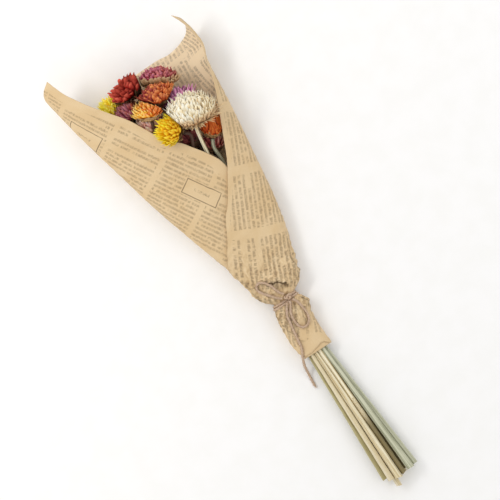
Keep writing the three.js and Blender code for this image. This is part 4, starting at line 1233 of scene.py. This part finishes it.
def add_turned(mesh, head, outline, lowest=None):
    """A body of revolution round the head's axis."""
    turn = full_turn(CORE_SIDES)
    out, up = np.array(outline, float).T[..., None] * [[[head.radius]], [[head.depth]]]
    placed = place_on_head(head, joined(out * np.cos(turn), out * np.sin(turn), up), lowest)
    uv = joined(turn / 6.28, np.full(out.shape, 0.1))
    mesh.add(placed, grid_faces(len(outline), CORE_SIDES, closed=True), uv, (0.5, 0.5))


# Directions in the bouquet's own plane in which a head's colour turns
PHOTO_RIGHT = (0.83, -0.56)
TURN_OF_COLOUR = {"02_maroon": (-0.84, -0.52)}


def bloom_piece(head, material):
    """All petals of a head, ring after ring, from the foot to the middle."""
    bloom = Mesh()
    lowest = FLAP_TOP if head.name == "11_lemon" else None
    add_turned(bloom, head, CORES[head.form], lowest)
    grids, tones = [], []
    rings = FORMS[head.form]
    if head.radius < SMALL_RADIUS:
        rings = rings[::2] + rings[-1:]
    turn_to = head.axes @ [*TURN_OF_COLOUR.get(head.name, PHOTO_RIGHT), 0]
    for level, ring in enumerate(rings):
        for angle, grid in ring_of_petals(head, ring, level, PETAL_SPREAD, RING_TURN * level):
            across = 0.5 + 0.5 * (turn_to[0] * np.cos(angle) + turn_to[1] * np.sin(angle)) * ring.tip[0]
            side = np.clip(across + random_petal.uniform(-0.3, 0.3), 0, 1)
            grids.append(grid)
            tones.append((side, level / (len(rings) - 1)))
    add_petals(bloom, head, grids, tones, PETAL_THICKNESS, lowest)
    bloom.build("petals_" + head.name, material, "bloom_" + head.name,
                "petals_" + head.name.split("_")[1])


# Heads with ragged bracts: their width, and how far the outermost reach
RAGGED = {"12_white": (0.14, 0.62), "03_crimson": (0.09, 0.95)}
OTHER_BRACTS = (0.3, 0.16)
# Rings of bracts, bracts in a ring and their roughness, for ragged heads and for others
RAGGED_RINGS, OTHER_RINGS = (6, 26, 1.4), (4, 14, 1)
# How dark the bracts are: partly their own dry colour, partly painted shade in the gaps between the heads
BRACT_DARK_AND_SHADE = {"03_crimson": 0.95, "02_maroon": 0.9, "06_rust": 0.8, "10_amber": 0.15, "12_white": 0.0,
               "07_plum": 0.9, "09_wine": 0.8, "05_peach": 0.1, "08_magenta": 0.9, "11_lemon": 0.6}
OTHER_BRACT_DARK_AND_SHADE = 0.25


def bract_piece(head, material):
    """The scaly dry cup under the petals."""
    calyx = Mesh()
    depth = CALYX_DEPTH / head.depth
    add_turned(calyx, head, [
        [0, -depth], [(STEM_TOP_RADIUS + 0.1) / head.radius, -depth], [0.24, -0.62 * depth],
        [0.38, -0.2 * depth], [0.4, -0.06 * depth], [0, -0.05 * depth]])
    width, reach = RAGGED.get(head.name, OTHER_BRACTS)
    levels, count, roughness = RAGGED_RINGS if head.name in RAGGED else OTHER_RINGS
    grids, tones = [], []
    for level in range(levels):
        share = level / (levels - 1)
        ring = Ring(count, [0.2 + 0.12 * share, (-0.8 + 0.4 * share) * depth],
                    [0.42 + 0.14 * share, (-0.55 + 0.45 * share) * depth],
                    [0.66 + reach * share, (-0.2 + 0.5 * share) * depth], width)
        for _, grid in ring_of_petals(head, ring, level, BRACT_SPREAD, roughness=roughness):
            grids.append(grid)
            tones.append((random_petal.uniform(), BRACT_DARK_AND_SHADE.get(head.name, OTHER_BRACT_DARK_AND_SHADE)))
    add_petals(calyx, head, grids, tones, BRACT_THICKNESS)
    calyx.build("bracts_" + head.name, material, "calyx_" + head.name, "dry_bracts")


# Root, middle and tip colours of the petals on the two sides of each head
PETAL_COLOURS = {
    "01_yellow": (["ffdc10", "fff838", "fffc80"], ["f8bc10", "ffe03c", "fff084"]),
    "02_maroon": (["5e1c10", "a8442c", "d88060"], ["521628", "9a4054", "d48c9c"]),
    "03_crimson": (["480404", "ac1a14", "ea6a54"], ["340404", "74120c", "a83424"]),
    "04_purple": (["440c16", "8c2838", "dc869c"], ["541416", "9a3638", "dc867c"]),
    # Painted light: 05_peach's colours are lightened to make up for the shade it lies in
    "05_peach": (["f09c70", "ffd0a4", "fff2e0"], ["ec8c8c", "ffbcb4", "ffeae4"]),
    "06_rust": (["460c0e", "8c2620", "b8544c"], ["661408", "cc5a20", "ffa864"]),
    "07_plum": (["2a0a0c", "5a1a1e", "90423e"], ["300c10", "6a2622", "a65a50"]),
    "08_magenta": (["2e081a", "742250", "b4508a"], ["541038", "b8508c", "f8b4da"]),
    "09_wine": (["380a0e", "7c2024", "b05850"], ["541214", "a44038", "e8a898"]),
    "10_amber": (["d8780c", "ffbe38", "ffec94"], ["b04010", "ee7024", "ffb070"]),
    "11_lemon": (["f8c40c", "fff018", "fffa58"], ["dc8c08", "fcbc1c", "ffe244"]),
    "12_white": (["f4e4bc", "fffae8", "fffef4"], ["d8ae78", "fae8c0", "fff8e2"]),
    "13_orange": (["4c0c02", "b03808", "e06a20"], ["601402", "cc4c10", "f68c3c"])}
# Heads whose outermost petals are dry and pale, up to this share of the rings
DRY_RINGS = {"04_purple": 0.16, "12_white": 0.05}
NO_DRY_RINGS = -0.2


def petal_material(head):
    s = Shader("petals_" + head.name, 0.55, Specular_IOR_Level=0.2)
    across, along = s.uv("sheet")
    side, level = s.uv("tone")
    first, second = PETAL_COLOURS[head.name]
    one, two = (s.colours(along, *zip((0.15, 0.6, 0.97), codes)) for codes in (first, second))
    dry = s.colours(along, (0.0, "8a5a34"), (0.5, "c29668"), (1.0, "ecd0a2"))
    dry_up_to = DRY_RINGS.get(head.name, NO_DRY_RINGS)
    veins = s.streaks((across * 14.0, along * 1.2, side * 50.0), 2.0)
    colour = s.layered(
        one,
        (s.ramp(side, 0.25, 0.75), two),
        (s.ramp(level, dry_up_to, dry_up_to + 0.06, 1.0, 0.0), dry),
        (s.ramp(veins, 0.35, 0.7, 0.0, 0.3), first[0]),
        (s.ramp(s.speckle(420.0), 0.58, 0.75, 0.0, 0.15), second[2]))
    return s.finish(colour, s.bump(veins, 0.35, 0.0003))


def bract_material():
    s = Shader("dry_bracts", 0.7, Specular_IOR_Level=0.2)
    across, along = s.uv("sheet")
    chance, dark = s.uv("tone")
    veins = s.streaks((across * 12.0, along, chance * 40.0), 2.0)
    colour = s.layered(
        s.colours(along, (0.0, "4e321c"), (0.55, "9a7044"), (1.0, "d0aa76")),
        (s.ramp(veins, 0.4, 0.7, 0.0, 0.5), "54341c"),
        (s.ramp(chance, 0.3, 1.0, 0.0, 0.4), "c49a68"),
        (s.ramp(dark, 0.0, 0.2, 0.55, 0.0), "f2dcb2"),
        # Near-black bracts: their dry colour, and partly painted shade in the gaps between the heads
        (s.ramp(dark + chance * 0.3, 0.3, 1.2, 0.0, 0.95), "2a120c"))
    return s.finish(colour, s.bump(veins, 0.4, 0.0003))


bracts = bract_material()
for head in heads:
    bloom_piece(head, petal_material(head))
    bract_piece(head, bracts)


# Floor and light

FLOOR_HALF = 3.0
FLOOR_DROP = -0.0002
WORLD_STRENGTH = 0.85


def stage():
    """A plain pale floor, a hair below the part."""
    s = Shader("floor", 0.9)
    s.finish(s.layered("f9f8f6", (s.ramp(s.speckle(60.0), 0.3, 0.7), "fbfaf9")))
    mesh = bpy.data.meshes.new("floor")
    corners = [(x * FLOOR_HALF, y * FLOOR_HALF, FLOOR_DROP) for x, y in ((-1, -1), (1, -1), (1, 1), (-1, 1))]
    mesh.from_pydata(corners, [], [(0, 1, 2, 3)])
    mesh.materials.append(s.material)
    new_object("floor", mesh)


def area_light(name, location, size, power, colour):
    """A square light that faces the middle of the part."""
    data = bpy.data.lights.new(name, "AREA")
    data.shape, data.size, data.energy, data.color = "SQUARE", size, power, colour
    light = new_object(name, data)
    light.location = location
    x, y, z = location
    light.rotation_euler = (math.atan2(math.hypot(x, y), z), 0, math.atan2(x, -y) + math.pi)


stage()
area_light("key", (-0.7, 0.9, 1.4), 0.9, 34, (1.0, 0.98, 0.95))
area_light("fill", (1.1, -0.5, 1.3), 1.4, 12, (0.97, 0.98, 1.0))
world = bpy.data.worlds.new("studio")
world.use_nodes = True
background = world.node_tree.nodes["Background"].inputs
background["Color"].default_value = (1.0, 1.0, 1.0, 1.0)
background["Strength"].default_value = WORLD_STRENGTH
scene.world = world
scene.view_settings.view_transform = "Standard"
